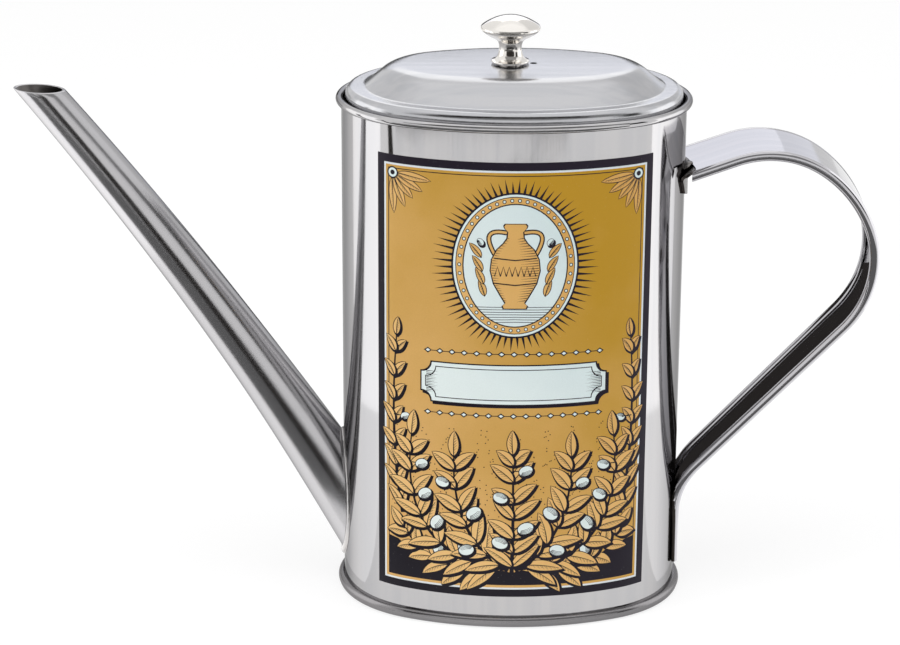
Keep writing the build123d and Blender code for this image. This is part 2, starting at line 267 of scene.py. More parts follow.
overhead = ((-500, -500, 1200), (500, -500, 1200), (500, 500, 1200), (-500, 500, 1200))
make_board("board_overhead", overhead, [(0, 1, 2, 3)], 1.12)
add_board("flag_front", 59.5, 21, (900, 120), (900, 620), black_strength)
add_card("card_near", -7.5, 125, 75, 425, 0.17)
add_card("card_far", -18, 84, 515, 1700, 0.1)
add_flag("flag_leg", ((40, 12, 12), (91, 12, 80), (86.5, 5.4, 84), (39, 5.4, 34)), back_clear=True)
add_flag("flag_left", ((-53, 60, 0), (-40, 60, 0), (-40, 60, 115), (-53, 60, 115)))
add_flag("flag_knob", ((-30, -35, 136), (24, -35, 136), (24, -35, 154), (-30, -35, 154)))
add_flag("flag_spout", ((-47, -50, 10), (-31, -50, 22), (-109, -50, 141), (-125, -50, 130)))


# Body wall. Stainless sheet bent to an oval and polished. Its top edge is curled
# outwards round a wire, and the spout's bore is cut through it on the spout side.
def add_ramp(tree, factor, stops):
    """Colour ramp with soft steps: stops are (place, grey)."""
    ramp = add_node(tree, "ValToRGB", {"Fac": factor})
    ramp.color_ramp.interpolation = "EASE"
    entries = ramp.color_ramp.elements
    for entry, (place, grey) in zip(entries, stops):
        entry.position = place
        entry.color = (grey, grey, grey, 1)
    return ramp.outputs["Color"]


def shared_group(name, given, made):
    """Shader node group with named sockets; returns its tree, input and output nodes."""
    group = bpy.data.node_groups.new(name, "ShaderNodeTree")
    for label, kind in given:
        group.interface.new_socket(label, in_out="INPUT", socket_type="NodeSocket" + kind)
    for label, kind in made:
        group.interface.new_socket(label, in_out="OUTPUT", socket_type="NodeSocket" + kind)
    return group, group.nodes.new("NodeGroupInput"), group.nodes.new("NodeGroupOutput")


def use_group(tree, group, inputs):
    """A shared group placed in a material with its own values; returns its outputs."""
    node = tree.nodes.new("ShaderNodeGroup")
    node.node_tree = group
    for key, value in inputs.items():
        plug(tree, node.inputs[key], value)
    return node.outputs


def mix_tones(tree, factor, low, high):
    """Blend of two colours."""
    node = add_node(tree, "Mix", {0: factor, 6: low, 7: high}, data_type="RGBA")
    return node.outputs[2]


# Fine parallel marks that a polishing belt leaves, with wide faint bands among them
polish_lines, given, made = shared_group(
    "polish_lines", (("Vector", "Vector"), ("Fineness", "Vector")),
    (("Lines", "Float"), ("Bands", "Float")))
placed = add_node(polish_lines, "Mapping", {"Vector": given.outputs["Vector"],
                                            "Scale": given.outputs["Fineness"]}).outputs[0]
fine = add_node(polish_lines, "TexNoise", {"Vector": placed, "Scale": 1.0, "Detail": 4.0, "Roughness": 0.65})
wide = add_node(polish_lines, "TexNoise", {"Vector": placed, "Scale": 0.12, "Detail": 2.0})
plug(polish_lines, made.inputs["Lines"], fine.outputs[0])
plug(polish_lines, made.inputs["Bands"], wide.outputs[0])

# Soft smears and small specks left by fingers and cloths
handling_marks, given, made = shared_group(
    "handling_marks", (("Vector", "Vector"), ("Fineness", "Float")),
    (("Smear", "Float"), ("Specks", "Float")))
spot = given.outputs["Vector"]
smear = add_node(handling_marks, "TexNoise", {"Vector": spot, "Scale": given.outputs["Fineness"],
                                              "Detail": 5.0, "Roughness": 0.55, "Distortion": 0.8})
dots = add_node(handling_marks, "TexVoronoi", {"Vector": spot, "Scale": 900.0})
smeared = add_ramp(handling_marks, smear.outputs[0], ((0.42, 0), (0.72, 1)))
plug(handling_marks, made.inputs["Smear"], smeared)
speckled = add_ramp(handling_marks, dots.outputs["Distance"], ((0.03, 1), (0.11, 0)))
plug(handling_marks, made.inputs["Specks"], speckled)

# Where the sheet turns sharply, and so where its polish wears bright
worn_edge, given, made = shared_group("worn_edge", (("Width", "Float"),), (("Edge", "Float"),))
rounded = add_node(worn_edge, "Bevel", {"Radius": given.outputs["Width"]}, samples=4)
facing = add_node(worn_edge, "NewGeometry").outputs["Normal"]
turn = add_node(worn_edge, "VectorMath", {0: rounded.outputs[0], 1: facing}, operation="DOT_PRODUCT")
plug(worn_edge, made.inputs["Edge"], add_ramp(worn_edge, turn.outputs["Value"], ((0.86, 1), (0.995, 0))))

smear_fineness = 38.0
speck_weight, speck_shade = 0.35, 0.88
worn_weight, worn_gain = 0.6, 1.12
line_roughness = 0.06


def polished_metal(name, tone, second_tone, roughness, fineness, cut, smears=0.05, edge=0.3, grazing=1.0,
                   along_run=False):
    """Polished sheet metal: drifting tone, belt lines, handling marks and worn edges.

    Fineness is the number of belt lines per metre along each axis, or along and across
    the run of a piece that carries its own run. The depth of their cut and the width of
    the worn edge are in millimetres, and grazing is the metal's own tint seen edge on.
    """
    material, tree, output = new_material(name)
    where = add_node(tree, "TexCoord").outputs["UV" if along_run else "Object"]
    lines = use_group(tree, polish_lines, {"Vector": where, "Fineness": fineness})
    place = add_node(tree, "TexCoord").outputs["Object"]
    marks = use_group(tree, handling_marks, {"Vector": place, "Fineness": smear_fineness})
    worn = use_group(tree, worn_edge, {"Width": edge * MM})
    drift = add_ramp(tree, lines["Bands"], ((0.35, 0), (0.65, 1)))
    sheet = mix_tones(tree, drift, tone, second_tone)
    speck = number(tree, "MULTIPLY", marks["Specks"], speck_weight)
    sheet = mix_tones(tree, speck, sheet, tuple(speck_shade * c for c in tone))
    bare = number(tree, "MULTIPLY", worn["Edge"], worn_weight)
    sheet = mix_tones(tree, bare, sheet, tuple(min(1, worn_gain * c) for c in tone))
    rough = number(tree, "MULTIPLY_ADD", marks["Smear"], smears, roughness)
    rough = number(tree, "MULTIPLY_ADD", lines["Lines"], line_roughness, rough)
    relief = add_node(tree, "Bump", {"Height": lines["Lines"], "Strength": 1.0, "Distance": cut * MM})
    steel = add_node(tree, "BsdfPrincipled", {"Base Color": sheet, "Metallic": 1.0, "Roughness": rough,
                                              "Specular Tint": (grazing,) * 3, "Normal": relief.outputs[0]})
    plug(tree, output.inputs["Surface"], steel.outputs[0])
    return material


def dress(node, material):
    """Give a CAD node its finish."""
    finishes = nodes[node].data.materials
    finishes.clear()
    finishes.append(material)


body_steel = polished_metal("body_steel", (0.54, 0.53, 0.535), (0.51, 0.505, 0.515),
                            roughness=0.04, fineness=(2500, 2500, 30), cut=0.0012, grazing=0.4)
dress("body_wall", body_steel)

# Rim wire, base pan and lid seat. The wire lies in the curl, the base is pressed with
# its edge turned up as a hem, and an angle ring inside the mouth carries the lid.
mill_steel = polished_metal("mill_steel", (0.44, 0.44, 0.44), (0.40, 0.405, 0.41),
                            roughness=0.22, fineness=(700, 700, 700), cut=0.01)
# Base pan: a rougher finish than the wall, with a darker tone that is painted shade from the floor beside
# the hem
shaded_hem_steel = polished_metal("shaded_hem_steel", (0.27, 0.26, 0.265), (0.21, 0.205, 0.21),
                           roughness=0.2, fineness=(120, 120, 3000), cut=0.006, grazing=0.6)
dress("rim_wire", mill_steel)
dress("lid_seat_ring", mill_steel)
dress("base_pan", shaded_hem_steel)


# Label. A thin printed sheet glued to the front of the wall: a dark border with a white
# line, and on its gold ground an engraved medallion, a blank plaque and olive boughs.
body_half_width, body_half_depth, side_bulge = 42.0, 30.2, 3.2
end_radius = body_half_depth - side_bulge
end_centre = body_half_width - end_radius
side_radius = (body_half_depth**2 + body_half_width**2 - 2 * body_half_width * end_radius) / (2 * side_bulge)
side_centre = side_radius - body_half_depth
side_angle = math.atan2(end_centre, side_centre)
side_run = side_radius * side_angle
label_half_run = 34.63
label_bottom = 7.8
label_height = 110.7
label_sheet = 0.12
label_glue = 0.012
label_column_step = 1.8


def on_front(run, out):
    """Point on the body's outline, out millimetres off it, and the way that it faces.

    The run is measured along the wall from the middle of the label side.
    """
    side = 1 if run >= 0 else -1
    if abs(run) <= side_run:
        angle, radius, centre = abs(run) / side_radius, side_radius, (0, side_centre)
    else:
        angle, radius, centre = side_angle + (abs(run) - side_run) / end_radius, end_radius, (end_centre, 0)
    face = (side * math.sin(angle), -math.cos(angle))
    return (side * centre[0] + (radius + out) * face[0], centre[1] + (radius + out) * face[1]), face


DARK, WHITE, GOLD, PALE, TAN = range(5)
draw_random = random.Random(7)
drawing = []
least_twice_area = 0.004
joined_gap = 1e-4


def ink(points, colour):
    """Add one filled outline to the drawing; later ones lie on top of earlier ones."""
    twice_area = sum(a[0] * b[1] - b[0] * a[1] for a, b in zip(points, points[1:] + points[:1]))
    if abs(twice_area) < least_twice_area:
        return
    ordered = points if twice_area > 0 else points[::-1]
    drawing.append(([(round(u, 3), round(v, 3)) for u, v in ordered], colour))


def turned_spot(centre, along, across, turn):
    """Point along and across from a centre, on axes turned by an angle."""
    c, s = math.cos(turn), math.sin(turn)
    return centre[0] + along * c - across * s, centre[1] + along * s + across * c


def ink_oval(centre, reach_u, reach_v, colour, corners, turn=0.0):
    """Filled oval of a number of corners."""
    points = []
    for i in range(corners):
        angle = 2 * math.pi * i / corners
        points.append(turned_spot(centre, reach_u * math.cos(angle), reach_v * math.sin(angle), turn))
    ink(points, colour)


def unit(start, end):
    """Direction from one point to another."""
    du, dv = end[0] - start[0], end[1] - start[1]
    length = math.hypot(du, dv) or 1.0
    return du / length, dv / length


def ink_line(points, thick_start, thick_end, colour):
    """Engraved line: short four-sided runs whose thickness changes along the line."""
    count = len(points) - 1
    sides = []
    for i, (u, v) in enumerate(points):
        du, dv = unit(points[max(i - 1, 0)], points[min(i + 1, count)])
        half = 0.5 * (thick_start + (thick_end - thick_start) * i / count)
        sides.append(((u - dv * half, v + du * half), (u + dv * half, v - du * half)))
    for (left, right), (next_left, next_right) in zip(sides, sides[1:]):
        ink([left, right, next_right, next_left], colour)


def bend(start, middle, end, count):
    """Points along a quadratic curve."""
    found = []
    for i in range(count + 1):
        t = i / count
        found.append(tuple((1 - t) ** 2 * a + 2 * t * (1 - t) * b + t * t * c
                           for a, b, c in zip(start, middle, end)))
    return found


leaf_steps = 9
leaf_outline = 0.2
leaf_fullest, leaf_roundness = 0.85, 0.8
leaf_shadow, leaf_shadow_shift = 0.42, (0.34, -0.42)
leaf_rib_thick, leaf_rib_thin = 0.26, 0.1
leaf_hatch_half, leaf_hatch_lean = 0.09, 0.7
# Hatches in each step of the spine: place in the step, and share of the blade's half width
leaf_hatches = ((0.0, 0.86), (0.5, 0.6))


def leaf_half(width, share):
    """Half the width of a blade at a share of its length, fullest before its middle."""
    return 0.5 * width * math.sin(math.pi * share ** leaf_fullest) ** leaf_roundness


def ink_leaf(base, heading, length, width, curl, shadow=True):
    """Olive leaf: dark outline, tan blade, midrib, and hatching on its shaded half."""
    tip = turned_spot(base, length, 0, heading)
    middle = turned_spot(((base[0] + tip[0]) / 2, (base[1] + tip[1]) / 2), 0, curl, heading)
    spine = bend(base, middle, tip, leaf_steps)

    def ink_blade(extra, shift, colour):
        left, right = [], []
        for i, (u, v) in enumerate(spine):
            du, dv = unit(spine[max(i - 1, 0)], spine[min(i + 1, leaf_steps)])
            half = leaf_half(width, i / leaf_steps) + extra if 0 < i < leaf_steps else 0.0
            along = {0: -extra, leaf_steps: extra}.get(i, 0.0)
            u += shift[0] + along * du
            v += shift[1] + along * dv
            left.append((u - dv * half, v + du * half))
            right.append((u + dv * half, v - du * half))
        ink(left + right[-2:0:-1], colour)

    if shadow:
        ink_blade(leaf_shadow, leaf_shadow_shift, DARK)
    ink_blade(leaf_outline, (0, 0), DARK)
    ink_blade(0.0, (0, 0), TAN)
    ink_line(spine[:-1], leaf_rib_thick, leaf_rib_thin, DARK)
    shaded = -1 if math.cos(heading) > 0 else 1
    for i in range(1, leaf_steps):
        (u, v), (du, dv) = spine[i], unit(spine[i], spine[i + 1])
        half = leaf_half(width, i / leaf_steps)
        for step, share in leaf_hatches:
            offset = step * length / leaf_steps
            foot_u, foot_v = u + du * offset, v + dv * offset
            reach = shaded * half * share
            far = (foot_u - dv * reach + du * half * leaf_hatch_lean,
                   foot_v + du * reach + dv * half * leaf_hatch_lean)
            ink([(foot_u - du * leaf_hatch_half, foot_v - dv * leaf_hatch_half),
                 (foot_u + du * leaf_hatch_half, foot_v + dv * leaf_hatch_half), far], DARK)


olive_corners = 18
olive_shadow_shift = (0.3, -0.4)
olive_hatches, olive_hatch_reach, olive_hatch_shrink = 4, 0.85, 0.1
olive_hatch_depth, olive_hatch_pitch, olive_hatch_bow = 0.66, 0.17, 0.9
olive_hatch_places = (-1.0, -0.6, -0.2, 0.2, 0.6, 1.0)
olive_hatch_thick, olive_hatch_thin = 0.16, 0.07


def ink_olive(centre, size, turn):
    """Olive: dark outline, pale flesh, curved hatching on the side away from the light."""
    cast = (centre[0] + olive_shadow_shift[0], centre[1] + olive_shadow_shift[1])
    for middle, long, short, colour in ((cast, 1.22, 0.95, DARK), (centre, 1.1, 0.85, DARK),
                                        (centre, 0.98, 0.72, PALE)):
        ink_oval(middle, size * long, size * short, colour, olive_corners, turn)
    for k in range(olive_hatches):
        depth = size * (olive_hatch_depth - olive_hatch_pitch * k)
        reach = size * olive_hatch_reach * (1 - olive_hatch_shrink * k)
        points = []
        for t in olive_hatch_places:
            across = -depth * math.sqrt(1 - (olive_hatch_bow * t) ** 2)
            points.append(turned_spot(centre, reach * t, across, turn))
        ink_line(points, olive_hatch_thick, olive_hatch_thin, DARK)


bough_steps = 24
stem_thick, stem_thin = 1.1, 0.35
first_node = 0.6
low_leaf_share, leaf_shrink = 1.05, 0.35
swing_spread = 0.12
length_spread, breadth_spread, curl_spread = (0.9, 1.08), (0.9, 1.1), (0.5, 1.1)
tip_length_share, tip_width_share, tip_curl = 0.72, 0.9, 0.3
olive_stalk, olive_stalk_thick, olive_stalk_thin = 3.1, 0.3, 0.2
olive_lean = 1.2


def stem_node(stem, share):
    """Point of a stem at a share of its length, and the stem's heading there."""
    i = min(int(share * bough_steps), bough_steps - 1)
    (u, v), (next_u, next_v) = stem[i:i + 2]
    return (u, v), math.atan2(next_v - v, next_u - u)


def ink_bough(line, leaves, length, width, side_swing, olives):
    """Bough: a stem with a pair of leaves at every node, and olives at some of them."""
    stem = bend(*line, bough_steps)
    ink_line(stem, stem_thick, stem_thin, DARK)
    for k in range(leaves):
        share = (k + first_node) / leaves
        place, heading = stem_node(stem, share)
        for side in (-1, 1):
            swing = side * (side_swing + draw_random.uniform(-swing_spread, swing_spread))
            reach = length * (low_leaf_share - leaf_shrink * share) * draw_random.uniform(*length_spread)
            breadth = width * draw_random.uniform(*breadth_spread)
            curl = -side * draw_random.uniform(*curl_spread)
            ink_leaf(place, heading + swing, reach, breadth, curl)
    ink_leaf(stem[-1], stem_node(stem, 1)[1], length * tip_length_share, width * tip_width_share, tip_curl)
    for share, side, size in olives:
        node, heading = stem_node(stem, share)
        place = turned_spot(node, 0, side * olive_stalk, heading)
        ink_line([node, place], olive_stalk_thick, olive_stalk_thin, DARK)
        ink_olive(place, size, heading + side * olive_lean)


# Frame lines
for inset, colour in ((0, DARK), (1.95, WHITE), (2.45, GOLD), (3.1, DARK), (3.32, GOLD)):
    reach, low, high = label_half_run - inset, inset, label_height - inset
    ink([(-reach, low), (reach, low), (reach, high), (-reach, high)], colour)

# Medallion with rays, rings and beads
heart = (0.0, 85.4)
medallion_reach, medallion_corners = (15.3, 18.1), 64
ray_foot = (15.2, 18.0)
ray_count, ray_lengths, ray_half, ray_squash = 72, (4.5, 5.2), 0.34, 1.6
for i in range(ray_count):
    angle = 2 * math.pi * (i + 0.5) / ray_count
    c, s = math.cos(angle), math.sin(angle)
    foot = (heart[0] + ray_foot[0] * c, heart[1] + ray_foot[1] * s)
    length = ray_lengths[i % 2]
    far = (foot[0] + length * c, foot[1] + (length - ray_squash) * s)
    ink([turned_spot(foot, 0, ray_half, angle), turned_spot(foot, 0, -ray_half, angle), far], DARK)
for inset, colour in ((0.0, DARK), (0.45, PALE), (1.0, DARK), (1.2, TAN), (2.7, DARK), (3.0, PALE)):
    ink_oval(heart, medallion_reach[0] - inset, medallion_reach[1] - inset, colour, medallion_corners)
pearl_count, pearl_inset, pearl_corners = 46, 1.95, 8
for i in range(pearl_count):
    angle = 2 * math.pi * i / pearl_count
    place = (heart[0] + (medallion_reach[0] - pearl_inset) * math.cos(angle),
             heart[1] + (medallion_reach[1] - pearl_inset) * math.sin(angle))
    for radius, colour in ((0.5, DARK), (0.3, PALE)):
        ink_oval(place, radius, radius, colour, pearl_corners)

# Ground line and hatching under the jar
ground_rows, ground_drop, ground_pitch, ground_thick = 7, 10.4, 0.62, 0.16
ground_reach, ground_shrink, ground_bow = 9.6, 0.8, 0.12
for k in range(ground_rows):
    reach = ground_reach - ground_shrink * k
    v = heart[1] - ground_drop - ground_pitch * k
    ink_line([(-reach, v), (0, v + ground_bow), (reach, v)], ground_thick, ground_thick, DARK)

# Jar with two handles: half its outline from the foot up, and one handle. A hatch runs between
# two shares of the jar's width; then come half the height of its start and the drop to its end.
jar_profile = ((2.6, -10.6), (2.9, -9.9), (2.2, -9.2), (3.3, -7.4), (5.0, -4.4), (5.8, -1.2), (5.5, 1.6),
               (4.3, 4.0), (2.7, 5.6), (1.9, 6.8), (1.75, 8.4), (2.5, 9.2), (2.7, 9.8), (2.3, 10.3))
jar_handle, jar_handle_steps = ((2.0, 8.2), (8.8, 9.6), (4.9, 2.8)), 12
jar_rise_share = 0.06
jar_hatch_rows, jar_hatch_pitch, jar_hatch_low = 26, 0.62, 8.6
jar_hatches = ((0.98, 0.2, 0.1, 0.28), (-0.98, -0.72, 0.08, 0.12))
jar_bands, jar_band_half, jar_band_sag, jar_band_thick = (-4.3, 1.9), 5.0, 0.5, 0.3
jar_teeth, jar_tooth_first, jar_tooth_pitch, jar_tooth_thick = 7, -4.2, 1.4, 0.26
jar_tooth_foot, jar_tooth_tip = -2.6, -0.2
for side in (-1, 1):
    handle_line = bend(*((side * u, heart[1] + v) for u, v in jar_handle), jar_handle_steps)
    for thick, colour in ((1.25, DARK), (0.6, TAN)):
        ink_line(handle_line, thick, thick, colour)
for grow, colour in ((0.3, DARK), (0, TAN)):
    right = [(u + grow, heart[1] + v * (1 + jar_rise_share * grow)) for u, v in jar_profile]
    ink(right + [(-u, v) for u, v in reversed(right)], colour)
for k in range(jar_hatch_rows):
    level = jar_hatch_pitch * k - jar_hatch_low
    for (u0, v0), (u1, v1) in zip(jar_profile, jar_profile[1:]):
        if v0 <= level < v1:
            width = u0 + (u1 - u0) * (level - v0) / (v1 - v0)
            v = heart[1] + level
            for wide, narrow, half, drop in jar_hatches:
                ink([(width * wide, v + half), (width * wide, v - half), (width * narrow, v - drop)], DARK)
for level in jar_bands:
    v = heart[1] + level
    line = [(-jar_band_half, v), (0, v - jar_band_sag), (jar_band_half, v)]
    ink_line(line, jar_band_thick, jar_band_thick, DARK)
for k in range(jar_teeth):
    u = jar_tooth_first + jar_tooth_pitch * k
    half, foot, tip = jar_tooth_pitch / 2, heart[1] + jar_tooth_foot, heart[1] + jar_tooth_tip
    ink_line([(u - half, foot), (u, tip), (u + half, foot)], jar_tooth_thick, jar_tooth_thick, DARK)

# A sprig beside each handle: leaves as (across, up, lean) and an olive over them
sprig_leaves = ((7.2, -7.6, 0.33), (7.5, -4.6, 0.45), (7.8, -1.4, 0.57), (8.1, 2.0, 0.69))
sprig_leaf_length, sprig_leaf_width, sprig_leaf_curl = 4.4, 1.5, 0.3
sprig_olive, sprig_olive_size, sprig_olive_turn = (8.3, 5.8), 0.95, 0.9
for side in (-1, 1):
    for u, v, lean in sprig_leaves:
        ink_leaf((side * u, heart[1] + v), math.pi / 2 - side * lean, sprig_leaf_length,
                 sprig_leaf_width, side * sprig_leaf_curl, False)
    olive = (side * sprig_olive[0], heart[1] + sprig_olive[1])
    ink_olive(olive, sprig_olive_size, side * sprig_olive_turn)

# Corner fans, each of five leaves round a stud, placed across and down from the top edge
fan_place, stud_place, stud_corners = (30.6, 4.0), (30.3, 4.3), 16
fan_lengths, fan_width, fan_inset = (8.6, 7.4, 6.6, 7.4, 8.6), 1.9, 1.6
fan_first, fan_pitch = -86, 19.5
for side in (-1, 1):
    for k, length in enumerate(fan_lengths):
        heading = math.radians(fan_first + fan_pitch * k)
        base = (side * fan_place[0] - side * fan_inset * math.cos(heading),
                label_height - fan_place[1] + fan_inset * math.sin(heading))
        ink_leaf(base, heading if side < 0 else -math.pi - heading, length, fan_width, 0.0, False)
    stud = (side * stud_place[0], label_height - stud_place[1])
    for radius, colour in ((1.5, DARK), (1.15, PALE), (0.6, DARK)):
        ink_oval(stud, radius, radius, colour, stud_corners)

# Blank plaque with hollow corners, hatched at both ends
plaque_half, plaque_low, plaque_high = 22.6, 50.4, 60.2
plaque_notch, notch_steps = 2.6, 6
plaque_hatches, plaque_hatch_low, plaque_hatch_pitch, plaque_hatch_half = 14, 52.7, 0.4, 0.1
plaque_hatch_foot, plaque_hatch_least, plaque_hatch_swell, plaque_hatch_wave = 21.4, 2.4, 1.7, 1.3
left_hatch_share = 0.75
for shift, grow, colour in ((0.6, 0.35, DARK), (0.0, 0.35, DARK), (0.0, 0.0, PALE), (0.0, -0.9, DARK),
                            (0.0, -1.12, PALE)):
    half, low, high = plaque_half + grow, plaque_low - grow, plaque_high + grow
    points = []
    for corner, first in (((half, low), 180), ((half, high), 270), ((-half, high), 0), ((-half, low), 90)):
        for k in range(notch_steps + 1):
            angle = math.radians(first - 90 * k / notch_steps)
            points.append((corner[0] + plaque_notch * math.cos(angle) + shift,
                           corner[1] + plaque_notch * math.sin(angle) - shift))
    ink(points, colour)
for side in (-1, 1):
    for k in range(plaque_hatches):
        v = plaque_hatch_low + plaque_hatch_pitch * k
        reach = plaque_hatch_least + plaque_hatch_swell * abs(math.sin(plaque_hatch_wave * k))
        reach *= 1 if side > 0 else left_hatch_share
        foot, tip = side * plaque_hatch_foot, side * (plaque_hatch_foot - reach)
        ink([(foot, v - plaque_hatch_half), (foot, v + plaque_hatch_half), (tip, v)], DARK)

# Row of lozenges over and under the plaque
lozenge_rows, lozenge_row_half, lozenge_row_thick = (47.4, 63.2), 22.0, 0.2
lozenges_aside, lozenge_pitch = 7, 3.0
for row in lozenge_rows:
    ink_line([(-lozenge_row_half, row), (lozenge_row_half, row)], lozenge_row_thick, lozenge_row_thick, DARK)
    for k in range(-lozenges_aside, lozenges_aside + 1):
        u = lozenge_pitch * k
        for half, rise, colour in ((1.0, 0.75, DARK), (0.55, 0.4, PALE)):
            ink([(u - half, row), (u, row - rise), (u + half, row), (u, row + rise)], colour)

# Stippled ground behind the boughs, over a dark mound
stipple_dots, stipple_reach, stipple_radius, stipple_corners = 620, 30.5, 0.17, 5
stipple_low, stipple_top, stipple_thinning = 6, 33, 0.8
stipple_wave, stipple_wave_rise = 0.42, 12
for k in range(stipple_dots):
    u = draw_random.uniform(-stipple_reach, stipple_reach)
    top = stipple_top + stipple_wave_rise * abs(math.cos(stipple_wave * u))
    v = stipple_low + (top - stipple_low) * draw_random.random() ** stipple_thinning
    ink_oval((u, v), stipple_radius, stipple_radius, DARK, stipple_corners)
mound_half, mound_foot, mound_middle = 31.4, 3.2, 6.4
mound_steps, mound_rise, mound_notch, mound_hollow = 24, 7.0, 0.7, 2.2
mound = [(-mound_half, mound_foot), (mound_half, mound_foot)]
for k in range(mound_steps + 1):
    u = mound_half - 2 * mound_half * k / mound_steps
    rise = mound_rise * abs(1 - 2 * k / mound_steps) ** mound_hollow
    mound.append((u, mound_middle + rise + mound_notch * (k % 2)))
ink(mound, DARK)

# Boughs, all but the middle one drawn on both sides. Each has three points of its stem, then
# its pairs of leaves, their length, width and swing, then olives as (share, side, size).
side_bough = (((27.5, 20.0), (31.5, 40.0), (29.2, 66.0)), (8, 6.2, 2.0, 0.6),
              ((0.3, 1, 1.2), (0.62, 1, 1.2)))
foot_bough = (((4.0, 6.6), (20.0, 5.4), (27.5, 16.5)), (6, 7.6, 2.7, 0.8), ((0.6, 1, 1.8),))
wide_bough = (((1.5, 7.5), (29.0, 10.0), (25.2, 41.0)), (9, 8.8, 2.8, 0.8),
              ((0.28, 1, 1.9), (0.5, 1, 2.0), (0.72, 1, 1.8), (0.9, 1, 1.6)))
near_bough = (((0.8, 7.0), (15.0, 15.0), (14.4, 36.5)), (7, 9.0, 2.8, 0.8),
              ((0.35, -1, 1.9), (0.62, 1, 2.0), (0.85, -1, 1.7)))
middle_bough = (((0.0, 5.6), (0.4, 20.0), (0.0, 37.5)), (7, 8.6, 2.7, 0.85),
                ((0.3, 1, 2.0), (0.45, -1, 2.0), (0.7, 1, 1.8), (0.9, -1, 1.7)))
for boughs in ((side_bough,), (foot_bough, wide_bough), (near_bough,)):
    for side in (-1, 1):
        for line, leaves, olives in boughs:
            ink_bough([(side * u, v) for u, v in line], *leaves,
                      [(share, side * olive_side, size) for share, olive_side, size in olives])
ink_bough(middle_bough[0], *middle_bough[1], middle_bough[2])


def split_triangles(points, edges):
    """Triangles that hold all the edges; edges that cross are joined by new points."""
    found = delaunay_2d_cdt([Vector(point) for point in points], edges, [], 0, joined_gap, False)
    triangles = [face for face in found[2] if len(face) == 3]
    return np.array([tuple(point) for point in found[0]]), np.array(triangles)


def ink_shown(places):
    """The ink that the drawing shows at each place, or -1 off the sheet."""
    shown = np.full(len(places), -1)
    order = np.argsort(places[:, 0])
    runs = places[order, 0]
    for outline, colour in drawing:
        corners = np.array(outline)
        low, high = corners.min(axis=0), corners.max(axis=0)
        near = order[slice(*np.searchsorted(runs, (low[0], high[0])))]
        near = near[(places[near, 1] >= low[1]) & (places[near, 1] <= high[1])]
        u, v = places[near].T
        inside = np.zeros(len(near), bool)
        for (u0, v0), (u1, v1) in zip(corners, np.roll(corners, -1, axis=0)):
            if v0 != v1:
                inside ^= ((v0 > v) != (v1 > v)) & (u < u0 + (v - v0) * (u1 - u0) / (v1 - v0))
        shown[near[inside]] = colour
    return shown


# Every outline first, then only the lines where two inks really meet, with upright
# lines close enough to carry the bend of the wall
points, edges = [], []
for outline, colour in drawing:
    first, count = len(points), len(outline)
    points += outline
    edges += [(first + i, first + (i + 1) % count) for i in range(count)]
spots, triangles = split_triangles(points, edges)
inks = ink_shown(spots[triangles].mean(axis=1))
sides = np.sort(triangles[:, [0, 1, 1, 2, 2, 0]].reshape(-1, 2), axis=1)
owners = np.repeat(inks, 3)
order = np.lexsort(sides.T)
sides, owners = sides[order], owners[order]
paired = (sides[1:] == sides[:-1]).all(axis=1)
meeting = sides[1:][paired & (owners[1:] != owners[:-1])]
used, meeting = np.unique(meeting, return_inverse=True)
points = [tuple(spot) for spot in spots[used]]
edges = [tuple(edge) for edge in meeting.reshape(-1, 2).tolist()]
columns = np.linspace(-label_half_run, label_half_run, 2 * round(label_half_run / label_column_step) + 1)
for run in columns:
    edges.append((len(points), len(points) + 1))
    points += [(run, 0.0), (run, label_height)]
for level in (0, label_height):
    edges.append((len(points), len(points) + 1))
    points += [(-label_half_run, level), (label_half_run, level)]
spots, triangles = split_triangles(points, edges)
inks = ink_shown(spots[triangles].mean(axis=1))
triangles, inks = triangles[inks >= 0], inks[inks >= 0]
a, b, c = (spots[triangles[:, k]] for k in range(3))
turned_over = (b - a)[:, 0] * (c - a)[:, 1] < (b - a)[:, 1] * (c - a)[:, 0]
triangles[turned_over] = triangles[turned_over][:, ::-1]

# The printed face, then its four edges and the glued back
points, faces, facings = [], [], []
for run, level in spots:
    (x, y), (face_x, face_y) = on_front(run, label_sheet)
    points.append((x, y, label_bottom + level))
    facings.append((face_x, face_y, 0))
faces += triangles.tolist()
rim = []
for level, out in ((0, label_sheet), (label_height, label_sheet),
                   (label_height, label_glue), (0, label_glue)):
    rim.append(len(points))
    for run in columns:
        (x, y), face = on_front(run, out)
        points.append((x, y, label_bottom + level))
for i in range(len(columns) - 1):
    for low, high in ((rim[1], rim[2]), (rim[2], rim[3]), (rim[3], rim[0])):
        faces.append((low + i, low + i + 1, high + i + 1, high + i))
last = len(columns) - 1
faces.append((rim[0], rim[1], rim[2], rim[3]))
faces.append((rim[3] + last, rim[2] + last, rim[1] + last, rim[0] + last))
label = build_mesh("label_sheet", points, faces)
mesh = label.data
mesh.polygons.foreach_set("material_index", inks.tolist() + [DARK] * (len(faces) - len(triangles)))
mesh.polygons.foreach_set("use_smooth", [True] * len(faces))
normals = []
for face, corners in enumerate(faces):
    if face < len(triangles):
        normals += [facings[corner] for corner in corners]
    else:
        normals += [tuple(mesh.polygons[face].normal)] * len(corners)
mesh.normals_split_custom_set(normals)

